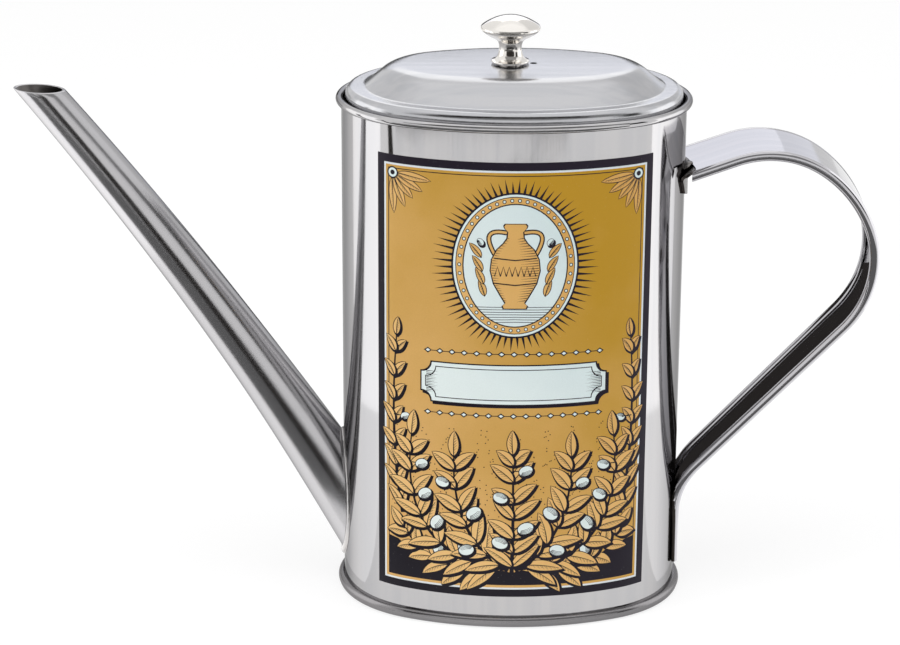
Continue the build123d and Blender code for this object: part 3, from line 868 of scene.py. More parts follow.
# Print: a fine rosette grain in the ink, slow drift in its weight, and rubbed spots
print_grain, given, made = shared_group(
    "print_grain", (("Vector", "Vector"),), (("Grain", "Float"), ("Weight", "Float")))
spot = given.outputs["Vector"]
dots = add_node(print_grain, "TexNoise", {"Vector": spot, "Scale": 3500.0, "Detail": 2.0})
weight = add_node(print_grain, "TexNoise", {"Vector": spot, "Scale": 45.0, "Detail": 3.0})
plug(print_grain, made.inputs["Grain"], dots.outputs[0])
plug(print_grain, made.inputs["Weight"], add_ramp(print_grain, weight.outputs[0], ((0.3, 0), (0.7, 1))))
shade_at_origin, shade_across, shade_upwards = 0.06, 11.0, 8.0
weight_drift, weight_unseen = 0.25, 0.2
grain_share, grain_shade, grain_height = 0.16, 0.45, 0.01
rub_share, rubbed_tone = 0.12, (0.62, 0.6, 0.57)
ink_roughness, ink_smear_fineness, ink_smear_roughness, ink_gloss = 0.42, 30.0, 0.12, 0.22
for name, tone, heavy_and_shaded_tone in (
    ("ink_dark", (0.008, 0.006, 0.012), (0.014, 0.009, 0.020)),
    ("ink_white", (0.80, 0.84, 0.85), (0.68, 0.74, 0.78)),
    ("ink_gold", (0.74, 0.44, 0.155), (0.49, 0.27, 0.016)),
    ("ink_pale", (0.84, 0.92, 0.90), (0.66, 0.77, 0.78)),
    ("ink_tan", (0.86, 0.55, 0.22), (0.66, 0.37, 0.10)),
):
    # Offset ink under a satin coat, with painted shade and sheen: darker towards the label's upper right
    material, tree, output = new_material(name)
    place = add_node(tree, "TexCoord").outputs["Object"]
    grain = use_group(tree, print_grain, {"Vector": place})
    marks = use_group(tree, handling_marks, {"Vector": place, "Fineness": ink_smear_fineness})
    axes = add_node(tree, "SeparateXYZ", {0: place})
    # Painted shade and sheen: a slope across the label, darker to the upper right, added to the ink's random
    # drift
    slope = number(tree, "MULTIPLY_ADD", axes.outputs["X"], shade_across, shade_at_origin)
    slope = number(tree, "MULTIPLY_ADD", axes.outputs["Z"], shade_upwards, slope)
    weight = number(tree, "MULTIPLY_ADD", grain["Weight"], weight_drift, slope)
    film = mix_tones(tree, number(tree, "SUBTRACT", weight, weight_unseen), tone, heavy_and_shaded_tone)
    speckle = number(tree, "MULTIPLY", grain["Grain"], grain_share)
    film = mix_tones(tree, speckle, film, tuple(grain_shade * c for c in heavy_and_shaded_tone))
    rub = number(tree, "MULTIPLY", marks["Specks"], rub_share)
    film = mix_tones(tree, rub, film, rubbed_tone)
    rough = number(tree, "MULTIPLY_ADD", marks["Smear"], ink_smear_roughness, ink_roughness)
    relief = add_node(tree, "Bump", {"Height": grain["Grain"], "Strength": 0.5,
                                     "Distance": grain_height * MM})
    coat = add_node(tree, "BsdfPrincipled", {"Base Color": film, "Roughness": rough,
                                             "Specular IOR Level": ink_gloss, "Normal": relief.outputs[0]})
    plug(tree, output.inputs["Surface"], coat.outputs[0])
    label.data.materials.append(material)
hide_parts("label")
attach(label, "tin")

# Spout. A tapering tube of rolled sheet, bent slightly, cut almost level at the tip and
# fitted to the wall, where a raised weld bead runs right round it.
spout_root_height = 24.9
spout_length = 127.0
spout_heading = math.radians(180 - 58.6)
spout_turn = math.radians(8.0)
spout_bend_radius = spout_length / spout_turn
spout_tip_radius = 4.65
spout_flare = 3.55
spout_flare_shares = ((-0.14, 1.196), (0, 1), (0.3, 0.58), (0.65, 0.27), (1, 0), (1.14, -0.108))
spout_sheet = 0.6
spout_tip_tilt = math.radians(3.2)
spout_columns = 72
spout_rings = 96
spout_root_search = (-0.13, 0.3)
spout_tip_search = (0.8, 1.13)
search_halvings = 40


def spout_frame(share):
    """Point on the spout's axis at a share of its length, its heading and the side across it."""
    heading = spout_heading + share * spout_turn
    c, s = math.cos(heading), math.sin(heading)
    x = -body_half_width + spout_bend_radius * (s - math.sin(spout_heading))
    z = spout_root_height - spout_bend_radius * (c - math.cos(spout_heading))
    return Vector((x, 0, z)), Vector((c, 0, s)), Vector((s, 0, -c))


def spout_radius(share):
    """Outer radius of the tube at a share of its length, on a smooth curve."""
    stations = spout_flare_shares
    k = max(i for i in range(1, len(stations) - 2) if i == 1 or stations[i][0] <= share)
    (s0, f0), (s1, f1), (s2, f2), (s3, f3) = stations[k - 1:k + 3]
    slope1, slope2 = (f2 - f0) / (s2 - s0), (f3 - f1) / (s3 - s1)
    span = s2 - s1
    t = (share - s1) / span
    flare = (2 * t**3 - 3 * t**2 + 1) * f1 + (t**3 - 2 * t**2 + t) * span * slope1
    flare += (3 * t**2 - 2 * t**3) * f2 + (t**3 - t**2) * span * slope2
    return spout_tip_radius + spout_flare * flare


def on_spout(share, angle, out):
    """Point of the tube, out millimetres off its outer face; angle 0 is its near side."""
    centre, along, across = spout_frame(share)
    outwards = math.sin(angle) * across - math.cos(angle) * Vector((0, 1, 0))
    return centre + (spout_radius(share) + out) * outwards


def find_share(search, angle, out, beyond):
    """Share where a line along the tube crosses a surface, by halving."""
    low, high = search
    for _ in range(search_halvings):
        middle = (low + high) / 2
        low, high = (middle, high) if beyond(on_spout(middle, angle, out)) else (low, middle)
    return (low + high) / 2


def inside_wall(point):
    """Whether a point lies within the tin's round end, on the spout side."""
    return math.hypot(point.x + end_centre, point.y) < end_radius


tip_centre = spout_frame(1)[0]
tip_up = Vector((math.sin(spout_tip_tilt), 0, math.cos(spout_tip_tilt)))


def under_tip(point):
    """Whether a point lies below the plane of the spout's cut tip."""
    return (point - tip_centre).dot(tip_up) < 0


def ring_faces(columns, per_column):
    """Faces of a closed section that is carried once round a ring of columns."""
    faces = []
    for i in range(columns):
        here, beside = i * per_column, (i + 1) % columns * per_column
        for k in range(per_column):
            after = (k + 1) % per_column
            faces.append((here + k, beside + k, beside + after, here + after))
    return faces


# Each column runs up the outer face, over the rounded lip and down the bore
lip_radius = spout_sheet / 2
lip_steps = 6
points, run_marks = [], []
for i in range(spout_columns):
    angle = 2 * math.pi * i / spout_columns
    outer_line, inner_line = [], []
    for out, line in ((0, outer_line), (-spout_sheet, inner_line)):
        root = find_share(spout_root_search, angle, out, inside_wall)
        tip = find_share(spout_tip_search, angle, out, under_tip) - lip_radius / spout_length
        for k in range(spout_rings + 1):
            share = root + (tip - root) * k / spout_rings
            line.append((on_spout(share, angle, out), share))
    outer, inner = outer_line[-1][0], inner_line[-1][0]
    middle, across_sheet = (outer + inner) / 2, (outer - inner) / 2
    onward = (outer - outer_line[-2][0]).normalized()
    lip_line = []
    for k in range(1, lip_steps):
        swing = math.pi * k / lip_steps
        rise = lip_radius * math.sin(swing)
        lip_line.append((middle + math.cos(swing) * across_sheet + rise * onward, 1.0))
    for place, share in outer_line + lip_line + inner_line[::-1]:
        points.append(tuple(place))
        run_marks.append((share * spout_length * MM, angle * spout_tip_radius * MM))
per_column = len(points) // spout_columns
spout = build_mesh("spout_tube_shell", points, ring_faces(spout_columns, per_column))


def store_run(piece, marks):
    """Store how far along and across its run each point lies, for its belt lines."""
    layer = piece.data.uv_layers.new(name="run")
    layer.data.foreach_set("uv", [c for loop in piece.data.loops for c in marks[loop.vertex_index]])


def smooth_but(piece, sharpest):
    """Shade smooth, with edges sharper than an angle in degrees kept crisp."""
    mesh = piece.data
    mesh.polygons.foreach_set("use_smooth", [True] * len(mesh.polygons))
    mesh.set_sharp_from_angle(angle=math.radians(sharpest))


store_run(spout, run_marks)
smooth_but(spout, 50)
spout_steel = polished_metal("spout_steel", (0.53, 0.52, 0.53), (0.49, 0.485, 0.50),
                             roughness=0.17, fineness=(25, 1800, 1), cut=0.002, grazing=0.5, along_run=True)
bore_steel = polished_metal("bore_steel", (0.20, 0.19, 0.185), (0.15, 0.14, 0.135),
                            roughness=0.3, fineness=(700, 700, 700), cut=0.008)
for finish in (spout_steel, bore_steel):
    spout.data.materials.append(finish)
bore_first = spout_rings + lip_steps - 1
for face in spout.data.polygons:
    if bore_first <= face.index % per_column <= bore_first + spout_rings:
        face.material_index = 1
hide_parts("spout_tube")
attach(spout, "tin")

# Spout weld. A bead of filler laid by hand round the spout's root, with a faint ripple,
# that laps a little way up the tube and as far down the wall.
weld_reach = 1.15
weld_swell = 0.62
weld_ripples = ((0.05, 41, 0), (0.03, 17, 1))
weld_columns = 144
weld_steps = 7
share_step = 0.01
points = []
for i in range(weld_columns):
    angle = 2 * math.pi * i / weld_columns
    root = find_share(spout_root_search, angle, 0, inside_wall)
    foot = on_spout(root, angle, 0)
    up_tube = (on_spout(root + share_step, angle, 0) - foot).normalized()
    off_wall = Vector((foot.x + end_centre, foot.y, 0)).normalized()
    outwards = (foot - spout_frame(root)[0]).normalized()
    down_wall = (outwards - outwards.dot(off_wall) * off_wall).normalized()
    ripple = 1
    for depth, waves, start in weld_ripples:
        ripple += depth * math.sin(waves * angle + start)
    near, far = foot + weld_reach * up_tube, foot + weld_reach * down_wall
    far = Vector((far.x + end_centre, far.y, 0)).normalized() * end_radius + Vector((-end_centre, 0, far.z))
    peak = foot + weld_swell * 2 * weld_reach * ripple * (up_tube + down_wall).normalized()
    for k in range(weld_steps + 1):
        t = k / weld_steps
        points.append(tuple((1 - t) ** 2 * near + 2 * t * (1 - t) * peak + t * t * far))
    points.append(tuple(foot))
faces = [face[::-1] for face in ring_faces(weld_columns, weld_steps + 2)]
spout_bead = build_mesh("spout_weld_bead", points, faces)
smooth_but(spout_bead, 60)
weld_steel = polished_metal("weld_steel", (0.52, 0.50, 0.49), (0.45, 0.44, 0.44),
                            roughness=0.16, fineness=(900, 900, 900), cut=0.012)
spout_bead.data.materials.append(weld_steel)
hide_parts("spout_weld")
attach(spout_bead, "tin")

# Handle. One steel strap bent in a D. Both long edges are rolled under into small tubes,
# the cut upper end is welded to the wall over a bent tab, and the foot lies down the wall.

# Its outer face starts at a place and heading, and takes a straight run, three bends given
# as (radius, degrees), the leg, and a bend that brings it down the wall
strap_start = (42.9, 111.1)
strap_heading = math.radians(20)
strap_bends = ((25.0, 53.5), (32.0, 34.0), (26.0, 66.0))
strap_first_run = 11.0
strap_leg = 50.53
strap_foot_bend = 17.5
strap_foot_height = 7.8
strap_foot_half = 8.3
strap_start_half = 11.7
strap_widening = (strap_start_half - strap_foot_half) / (strap_start[1] - strap_foot_height)
strap_sheet = 0.5
strap_crease = 0.13
strap_station = 1.0
strap_lanes = 14
# The rolled edges: their tube, and how far round it the sheet goes, less where it is flat
roll_radius = 1.1
roll_start = math.radians(118)
roll_end = math.radians(-202)
flat_roll_end = math.radians(-176)
roll_steps = 22
near_roll_height = 2.5
far_roll_height = 1.65
thickest_share = 0.42
least_tilt = 0.3
lane_inset = 0.47
# The tail, hammered flat and bent round the end of the tin, with painted shade in the gaps at its edges
tail_crown = 0.56
tail_edge = 1.5
tail_zone = (6, 40)
tail_wrap_headings = (math.radians(133.5), math.radians(92))
tail_edge_zone = (0.45, 0.9)
tail_flat_height = 16.0
tail_settle_run = 9
tail_spare_room = 0.6
tail_shade_top = 30.0
tail_shade_full = 21.0
tail_shade_share = 0.42
wall_clearance = 0.02
# The cut upper end, which follows the wall and is lifted at its far edge
end_gap = 0.25
end_cut_from = 3.5
end_cut_start = 42.0
end_cut_depth = 2.05
end_roll_back = 1.2
end_lift = 0.75
end_lift_run = 24.0


def strap_stations():
    """Points down the strap's outer line, each with the run so far and the heading."""
    turns = [(strap_first_run, 0)] + [(radius, -math.radians(turn)) for radius, turn in strap_bends]
    turns += [(strap_leg, 0)]
    foot = -math.pi / 2 - strap_heading - sum(turn for radius, turn in turns)
    turns += [(strap_foot_bend, foot)]
    (x, z), heading, run = strap_start, strap_heading, 0
    found = [(x, z, heading, run)]
    for size, turn in turns:
        length = size * abs(turn) if turn else size
        count = round(length / strap_station)
        for _ in range(count):
            chord = length / count
            if turn:
                chord = 2 * size * math.sin(abs(turn) / count / 2)
            heading += turn / count / 2
            x, z = x + chord * math.cos(heading), z + chord * math.sin(heading)
            heading += turn / count / 2
            run += length / count
            found.append((x, z, heading, run))
    drop = z - strap_foot_height
    count = round(drop / strap_station)
    return found + [(x, z - drop * k / count, heading, run + drop * k / count) for k in range(1, count + 1)]


def soft_step(value, start, end):
    """0 before start, 1 after end, and a smooth change between them."""
    share = min(1, max(0, (value - start) / (end - start)))
    return share * share * (3 - 2 * share)


def strap_outline(half, roll_heights):
    """Outer and inner lines of the section as (across, depth) pairs, near edge to far edge."""
    squash = roll_heights[0] / near_roll_height
    lines = []
    for inwards in (0, 1):
        edges = []
        for height in roll_heights:
            thick = inwards * min(strap_sheet, thickest_share * height)
            share = (height - far_roll_height) / (near_roll_height - far_roll_height)
            end = flat_roll_end + (roll_end - flat_roll_end) * max(0, share)
            edge = []
            for k in range(roll_steps + 1):
                angle = roll_start + (end - roll_start) * k / roll_steps
                edge.append((half - roll_radius + (roll_radius - thick) * math.cos(angle),
                             (height / 2 - thick) * math.sin(angle) - height / 2))
            edges.append(edge)
        flat = -strap_crease * squash - inwards * min(strap_sheet, thickest_share * roll_heights[0])
        inner_half = half - roll_radius - roll_radius * lane_inset
        lanes = [(inner_half * (2 * k / strap_lanes - 1), flat) for k in range(strap_lanes + 1)]
        lines.append([(-a, d) for a, d in reversed(edges[0])] + lanes + edges[1])
    return lines


def cut_end(across, half):
    """Where the sheet's end stands along X: it follows the wall, with the near corner cut back."""
    if across > end_cut_from:
        return end_centre + math.sqrt(end_radius**2 - across**2) + end_gap
    share = (end_cut_from - across) / (end_cut_from + half)
    back = end_roll_back * soft_step(-across, half - 2 * roll_radius, half)
    return end_cut_start + end_cut_depth * (1 - (1 - share) ** 2) - back


stations = strap_stations()
foot_x = stations[-1][0]
tail_reach, tail_top = tail_zone
wrap_radius = end_radius + tail_crown
closest = end_radius + wall_clearance
points, run_marks = [], []
for x, z, heading, run in stations:
    half = strap_foot_half + strap_widening * (z - strap_foot_height)
    at_tail = x < foot_x + tail_reach and z < tail_top
    wrap = soft_step(-heading, *tail_wrap_headings) if at_tail else 0
    settle = soft_step(z, tail_flat_height + tail_settle_run, tail_flat_height)
    normal = (-math.sin(heading), math.cos(heading))
    sag = wrap_radius * (1 - math.cos(half / wrap_radius))
    room = x - foot_x + tail_edge + tail_spare_room * (1 - settle) + (1 - wrap) * sag
    roll_height = near_roll_height
    if z < tail_top:
        roll_height = min(near_roll_height, room / max(least_tilt, normal[0]))
    edge_start, edge_full = (share * half for share in tail_edge_zone)
    for line in strap_outline(half, (roll_height, min(roll_height, far_roll_height))):
        for across, depth in line:
            bow = wrap_radius * (1 - math.cos(across / wrap_radius))
            edge_rise = (tail_edge - tail_crown) * soft_step(abs(across), edge_start, edge_full)
            out = depth - wrap * (bow - edge_rise) - settle * (foot_x - body_half_width - tail_crown)
            start = cut_end(across, half) - strap_start[0] + out * math.sin(strap_heading)
            forward = start / math.cos(strap_heading) * max(0, 1 - run / strap_first_run)
            px = x + out * normal[0] + forward * math.cos(heading)
            lift = end_lift * max(0, across / half) * max(0, 1 - run / end_lift_run)
            pz = z + out * normal[1] + forward * math.sin(heading) + lift
            py = across * (1 - wrap) + wrap * wrap_radius * math.sin(across / wrap_radius)
            off = math.hypot(px - end_centre, py)
            if off < closest:
                px = end_centre + (px - end_centre) * closest / off
                py *= closest / off
            points.append((px, py, pz))
            run_marks.append((run * MM, across * MM))
per_line = 2 * (roll_steps + 1) + strap_lanes + 1
per_station = 2 * per_line
last = per_line - 1
faces = []
for i in range(len(stations) - 1):
    here, after = i * per_station, (i + 1) * per_station
    for k in range(per_line - 1):
        low, high = here + k, after + k
        faces.append((low, low + 1, high + 1, high))
        faces.append((high + per_line, high + per_line + 1, low + per_line + 1, low + per_line))
    faces.append((here, after, after + per_line, here + per_line))
    faces.append((after + last, here + last, here + per_line + last, after + per_line + last))
for base, flip in ((0, False), ((len(stations) - 1) * per_station, True)):
    for k in range(base, base + per_line - 1):
        quad = (k, per_line + k, per_line + k + 1, k + 1)
        faces.append(quad[::-1] if flip else quad)
strap = build_mesh("handle_strap_sheet", points, faces)
store_run(strap, run_marks)
smooth_but(strap, 26)
strap_steel = polished_metal("strap_steel", (0.54, 0.53, 0.55), (0.50, 0.495, 0.52),
                             roughness=0.04, fineness=(30, 2200, 1), cut=0.0015, along_run=True)
# Near-black finish for the gaps at the tail's edges: painted shade
tail_gap_painted_shade = polished_metal("tail_gap_painted_shade", (0.030, 0.026, 0.023), (0.045, 0.040, 0.036),
                            roughness=0.35, fineness=(900, 900, 900), cut=0.006)
for finish in (strap_steel, tail_gap_painted_shade):
    strap.data.materials.append(finish)

# Painted shade in the gap under each rolled edge at the tail, where the flattened roll closes on itself
roll_depths = []
for k in range(roll_steps + 1):
    angle = roll_end + (roll_start - roll_end) * k / roll_steps
    roll_depths.append((math.sin(angle) - 1) / 2)
for face in strap.data.polygons:
    station, place = divmod(face.vertices[0], per_station)
    height = stations[station][1]
    if height < tail_shade_top and place < per_line:
        from_edge = min(place, per_line - 1 - place)
        bare = tail_shade_share + (1 - tail_shade_share) * soft_step(height, tail_shade_full, tail_shade_top)
        if from_edge < roll_steps and roll_depths[from_edge] < -bare:
            face.material_index = 1
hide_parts("handle_strap")
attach(strap, "tin")

# Handle tab. A short tongue of the same sheet, bent so that it lies under the strap and
# down the wall, rounded at its lower end, and painted near black as painted shade.
tab_sheet = 0.7
tab_columns = 24
tab_rows = 12
tab_reach = 6.5
tab_flap_half = 6.0
tab_bend = 1.3
tab_bend_rows = 5
tab_low = 103.2
tab_low_round = 1.5
tab_low_half = 6.8
tab_widening = 0.6
tab_widest = (10.4, 9.1)
tab_clearance = 0.06
tab_corner_cut = 1
tab_edge_cut = 0.5
tab_middle_radius = end_radius + tab_sheet / 2 + tab_clearance


def under_strap(x):
    """Height of the tab's middle plane under the strap's flat."""
    flat = strap_start[1] + (x - strap_start[0]) * math.tan(strap_heading)
    return flat - (strap_crease + strap_sheet + tab_sheet / 2 + tab_clearance) / math.cos(strap_heading)


def thick_sheet(name, rows, thickness):
    """Closed mesh of a bent sheet, from rows of points on its middle plane."""
    grid = np.array(rows)
    down, across = np.gradient(grid, axis=0), np.gradient(grid, axis=1)
    normals = np.cross(across, down)
    normals /= np.linalg.norm(normals, axis=2, keepdims=True)
    height, width = grid.shape[:2]
    faces = []
    skins = [(grid + side * thickness / 2 * normals).reshape(-1, 3) for side in (1, -1)]
    count = height * width
    for i in range(height - 1):
        for j in range(width - 1):
            a, b = i * width + j, (i + 1) * width + j
            faces.append((a, b, b + 1, a + 1))
            faces.append((count + a + 1, count + b + 1, count + b, count + a))
    rim = list(range(width)) + [i * width + width - 1 for i in range(1, height)]
    rim += [(height - 1) * width + j for j in range(width - 2, -1, -1)]
    rim += [i * width for i in range(height - 2, 0, -1)]
    for a, b in zip(rim, rim[1:] + rim[:1]):
        faces.append((a, b, count + b, count + a))
    return build_mesh(name, np.vstack(skins).tolist(), faces)


tab_lines = []
for j in range(tab_columns + 1):
    share = 2 * j / tab_columns - 1
    widest = tab_widest[0] if share < 0 else tab_widest[1]
    column = []
    for k in range(tab_rows):
        reach = tab_reach * (1 - k / tab_rows)
        half = tab_flap_half + (widest - tab_corner_cut - tab_flap_half) * (k / tab_rows) ** 3
        y = share * half
        x = end_centre + math.sqrt(end_radius**2 - y**2) + tab_sheet / 2 + tab_clearance + tab_bend + reach
        column.append((x, y, under_strap(x)))
    y = share * (widest - tab_edge_cut)
    face = math.sqrt(tab_middle_radius**2 - y**2) + end_centre
    top = under_strap(face + tab_bend)
    for k in range(tab_bend_rows + 1):
        turn = math.pi / 2 * k / tab_bend_rows
        column.append((face + tab_bend * (1 - math.sin(turn)), y, top - tab_bend * (1 - math.cos(turn))))
    upper, lower = top - tab_bend, tab_low + tab_low_round * share**2
    for k in range(1, tab_rows + 1):
        z = upper + (lower - upper) * k / tab_rows
        y = share * min(widest, tab_low_half + tab_widening * (z - tab_low))
        column.append((math.sqrt(tab_middle_radius**2 - y**2) + end_centre, y, z))
    tab_lines.append(column)
tab = thick_sheet("handle_tab", np.array(tab_lines).transpose(1, 0, 2), tab_sheet)
smooth_but(tab, 45)
# Near-black finish: painted shade and painted dark reflection under the strap's end
tab_and_weld_painted_shade = polished_metal("tab_and_weld_painted_shade", (0.060, 0.052, 0.046), (0.10, 0.090, 0.085),
                           roughness=0.22, fineness=(700, 700, 700), cut=0.004)
tab.data.materials.append(tab_and_weld_painted_shade)
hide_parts("handle_bracket")
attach(tab, "tin")

# Handle weld. One run of bead that fills the gap between the strap's cut end and the wall,
# thin at both ends, and painted near black with the tab's finish as painted shade.
end_bead_reach = (-6.5, 9.6)
end_bead_columns = 40
end_bead_lap = 0.22
end_bead_rise = 0.3
end_bead_depth = 0.8
end_bead_thin = 0.15
end_bead_taper = 5
end_bead_ripple = (0.06, 31)
end_bead_crown = ((0, 1), (0.35, 1.15), (0.75, 0.7), (1, 0))
end_bead_root = ((1, 0.5), (0.5, 1), (0, 1.1))
points = []
for j in range(end_bead_columns + 1):
    share = j / end_bead_columns
    y = end_bead_reach[0] + (end_bead_reach[1] - end_bead_reach[0]) * share
    swell = end_bead_thin + (1 - end_bead_thin) * min(1, end_bead_taper * min(share, 1 - share))
    swell += end_bead_ripple[0] * math.sin(end_bead_ripple[1] * share)
    near = math.sqrt(closest**2 - y**2) + end_centre
    reach = (cut_end(y, strap_start_half) + end_bead_lap - near) * swell
    level = strap_start[1] + (near - strap_start[0]) * math.tan(strap_heading)
    level += end_lift * max(0, y / strap_start_half)
    rise, depth = end_bead_rise * swell, end_bead_depth * swell
    slope = reach * math.tan(strap_heading)
    section = [(along, rise * height) for along, height in end_bead_crown]
    section += [(along, -depth * height) for along, height in end_bead_root]
    for along, height in section:
        points.append((near + reach * along, y, level + slope * along + height))
per_column = len(section)
faces = [tuple(range(per_column))]
for j in range(end_bead_columns):
    here, beside = j * per_column, (j + 1) * per_column
    for k in range(per_column):
        after = (k + 1) % per_column
        faces.append((here + after, here + k, beside + k, beside + after))
faces.append(tuple(reversed(range(end_bead_columns * per_column, (end_bead_columns + 1) * per_column))))
end_bead = build_mesh("handle_weld_bead", points, faces)
smooth_but(end_bead, 60)
# The tab's near-black finish: painted shade under the strap's end
end_bead.data.materials.append(tab_and_weld_painted_shade)
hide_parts("handle_top_weld")
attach(end_bead, "tin")

# Lid. One pressed sheet: a skirt that drops into the mouth, a flat flange, a sloping
# shoulder and a flat top with a small breathing hole, brushed satin.
lid_foot = 122.35
lid_flange_top = 129.8
lid_inset = 0.95
lid_sheet = 0.6
lid_corner_radius = 2.0
lid_flange_width = 1.9
lid_foot_radius = 2.0
lid_slope = math.radians(40)
lid_slope_length = 4.35
lid_shoulder_radius = 9.0
lid_arc_step = math.radians(5)
lid_end_step = math.radians(2)
lid_side_step = math.radians(1)
vent_place = (4.6, 0)
vent_radius = 0.85
screw_hole_place = (-1.0, 0)
screw_hole_radius = 1.56
hole_corners = 40
lid_joint_gap = 0.002


def lid_profile(inwards):
    """Section of the lid as (inset, height) pairs, from the skirt's foot to the flat top.

    Each part is an arc given as (radius, climb, drop), or a straight run that drops nothing.
    """
    inset, height = lid_inset + inwards, lid_flange_top - lid_corner_radius
    line = [(inset, lid_foot), (inset, height)]
    upright = math.radians(90)
    parts = ((lid_corner_radius - inwards, upright, upright), (lid_flange_width, 0, 0),
             (lid_foot_radius + inwards, 0, -lid_slope), (lid_slope_length, lid_slope, 0),
             (lid_shoulder_radius - inwards, lid_slope, lid_slope))
    for size, climb, drop in parts:
        inset, height = line[-1]
        if not drop:
            line.append((inset + size * math.cos(climb), height + size * math.sin(climb)))
            continue
        count = math.ceil(abs(drop) / lid_arc_step)
        side = math.copysign(size, drop)
        for k in range(1, count + 1):
            angle = climb - drop * k / count
            line.append((inset + side * (math.sin(climb) - math.sin(angle)),
                         height - side * (math.cos(climb) - math.cos(angle))))
    return line


def oval_corners():
    """Arc centre, arc radius and facing of each point round the tin's oval."""
    found = []
    half_end = math.pi / 2 - side_angle
    for middle, half, step, radius, centre in (
        (0, half_end, lid_end_step, end_radius, (end_centre, 0)),
        (math.pi / 2, side_angle, lid_side_step, side_radius, (0, -side_centre)),
        (math.pi, half_end, lid_end_step, end_radius, (-end_centre, 0)),
        (-math.pi / 2, side_angle, lid_side_step, side_radius, (0, side_centre)),
    ):
        count = math.ceil(2 * half / step)
        for k in range(count):
            angle = middle - half + 2 * half * k / count
            found.append((centre, radius, (math.cos(angle), math.sin(angle))))
    return found


corners = oval_corners()
around = len(corners)
points, faces = [], []
section = lid_profile(0) + lid_profile(lid_sheet)[::-1]
for inset, height in section:
    for centre, radius, face in corners:
        reach = radius - inset
        points.append((centre[0] + reach * face[0], centre[1] + reach * face[1], height))
top_ring = len(section) // 2 - 1
for k in range(len(section)):
    if k != top_ring:
        here, after = k * around, (k + 1) % len(section) * around
        for i in range(around):
            beside = (i + 1) % around
            faces.append((here + i, here + beside, after + beside, after + i))

# The flat top, cut round the vent and the screw's hole, with a wall in each hole
holes = ((vent_place, vent_radius), (screw_hole_place, screw_hole_radius))
rings = [[point[:2] for point in points[top_ring * around:(top_ring + 1) * around]]]
for (x, y), radius in holes:
    turns = [2 * math.pi / hole_corners * i for i in range(hole_corners)]
    rings.append([(x + radius * math.cos(turn), y + radius * math.sin(turn)) for turn in turns])
edges, first = [], 0
for ring in rings:
    edges += [(first + i, first + (i + 1) % len(ring)) for i in range(len(ring))]
    first += len(ring)
spots, triangles = split_triangles([spot for ring in rings for spot in ring], edges)
middles = spots[triangles].mean(axis=1)
solid = np.ones(len(triangles), bool)
for place, radius in holes:
    solid &= np.hypot(*(middles - place).T) > radius
lid_top = section[top_ring][1]
upper_base, count = len(points), len(spots)
for height, turned_over in ((lid_top, False), (lid_top - lid_sheet, True)):
    base = len(points)
    points += [(x, y, height) for x, y in spots.tolist()]
    faces += [tuple(base + int(c) for c in (t[::-1] if turned_over else t)) for t in triangles[solid]]
for first in (upper_base + around, upper_base + around + hole_corners):
    for i in range(hole_corners):
        a, b = first + i, first + (i + 1) % hole_corners
        faces.append((b, a, a + count, b + count))
lid = build_mesh("lid_cover_sheet", points, faces)
joined = bmesh.new()
joined.from_mesh(lid.data)
bmesh.ops.remove_doubles(joined, verts=joined.verts, dist=lid_joint_gap * MM)
bmesh.ops.recalc_face_normals(joined, faces=joined.faces)
joined.to_mesh(lid.data)
joined.free()
smooth_but(lid, 30)
lid_steel = polished_metal("lid_steel", (0.53, 0.53, 0.545), (0.49, 0.495, 0.515),
                           roughness=0.15, fineness=(30, 3200, 3200), cut=0.006, edge=0.4)
lid.data.materials.append(lid_steel)
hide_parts("lid_cover")
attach(lid, "lid")

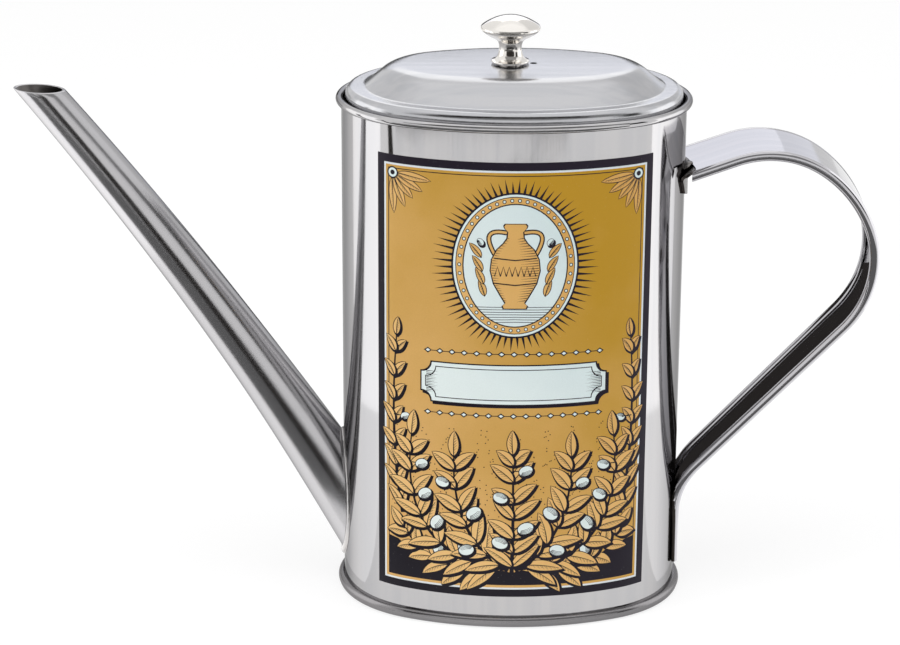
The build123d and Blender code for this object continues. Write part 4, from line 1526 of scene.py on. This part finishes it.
# Knob. Turned from bar with a collar, a waisted neck and a domed head, and plated bright
# with a warm tone. A screw from inside the lid holds it, with a washer under its foot.
knob_x = -1.05
knob_foot = 135.17
knob_bore_radius, knob_bore_depth = 1.56, 5.56
knob_collar = ((2.7, 0), (2.7, 0.35), (4.35, 0.35), (4.55, 0.43), (4.65, 0.65), (4.55, 0.87), (4.3, 0.97))
knob_neck = ((3.75, 1.2), (3.35, 1.6), (3.05, 2.2), (2.82, 3.0), (2.72, 3.8), (2.78, 4.6), (3.0, 5.3),
             (3.45, 5.9), (4.2, 6.4), (5.1, 6.85), (6.0, 7.4))
knob_rim_centre, knob_rim_radius = (6.4, 8.75), 0.85
knob_rim_turn = (math.radians(-60), math.radians(58))
knob_top = 11.9
knob_rim_steps = 14
knob_dome_steps = 18
knob_columns = 96
outline = [(0, knob_bore_depth), (knob_bore_radius, knob_bore_depth), (knob_bore_radius, 0)]
outline += [*knob_collar, *knob_neck]
for k in range(knob_rim_steps + 1):
    angle = knob_rim_turn[0] + (knob_rim_turn[1] - knob_rim_turn[0]) * k / knob_rim_steps
    outline.append((knob_rim_centre[0] + knob_rim_radius * math.cos(angle),
                    knob_rim_centre[1] + knob_rim_radius * math.sin(angle)))
dome_edge, dome_low = outline[-1]
for k in range(1, knob_dome_steps + 1):
    radius = dome_edge * (1 - k / knob_dome_steps)
    outline.append((radius, dome_low + (knob_top - dome_low) * (1 - (radius / dome_edge) ** 2)))
points = [(knob_x, 0, knob_foot + outline[0][1])]
for radius, height in outline[1:-1]:
    for i in range(knob_columns):
        angle = 2 * math.pi * i / knob_columns
        points.append((knob_x + radius * math.cos(angle), radius * math.sin(angle), knob_foot + height))
points.append((knob_x, 0, knob_foot + outline[-1][1]))
last = 1 + (len(outline) - 3) * knob_columns
faces = []
for i in range(knob_columns):
    beside = (i + 1) % knob_columns
    faces.append((0, 1 + beside, 1 + i))
    for here in range(1, last, knob_columns):
        above = here + knob_columns
        faces.append((here + i, here + beside, above + beside, above + i))
    faces.append((last + i, last + beside, len(points) - 1))
knob = build_mesh("knob_turned", points, faces)
smooth_but(knob, 40)
knob_metal = polished_metal("knob_metal", (0.87, 0.84, 0.80), (0.81, 0.78, 0.74),
                            roughness=0.08, fineness=(60, 60, 3500), cut=0.0015)
knob.data.materials.append(knob_metal)
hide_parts("knob")
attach(knob, "lid")
screw_metal = polished_metal("screw_metal", (0.50, 0.49, 0.47), (0.44, 0.43, 0.42),
                             roughness=0.25, fineness=(900, 900, 900), cut=0.01)
washer_metal = polished_metal("washer_metal", (0.66, 0.64, 0.61), (0.58, 0.56, 0.54),
                              roughness=0.05, fineness=(900, 900, 900), cut=0.003)
dress("knob_washer", washer_metal)
dress("knob_screw", screw_metal)
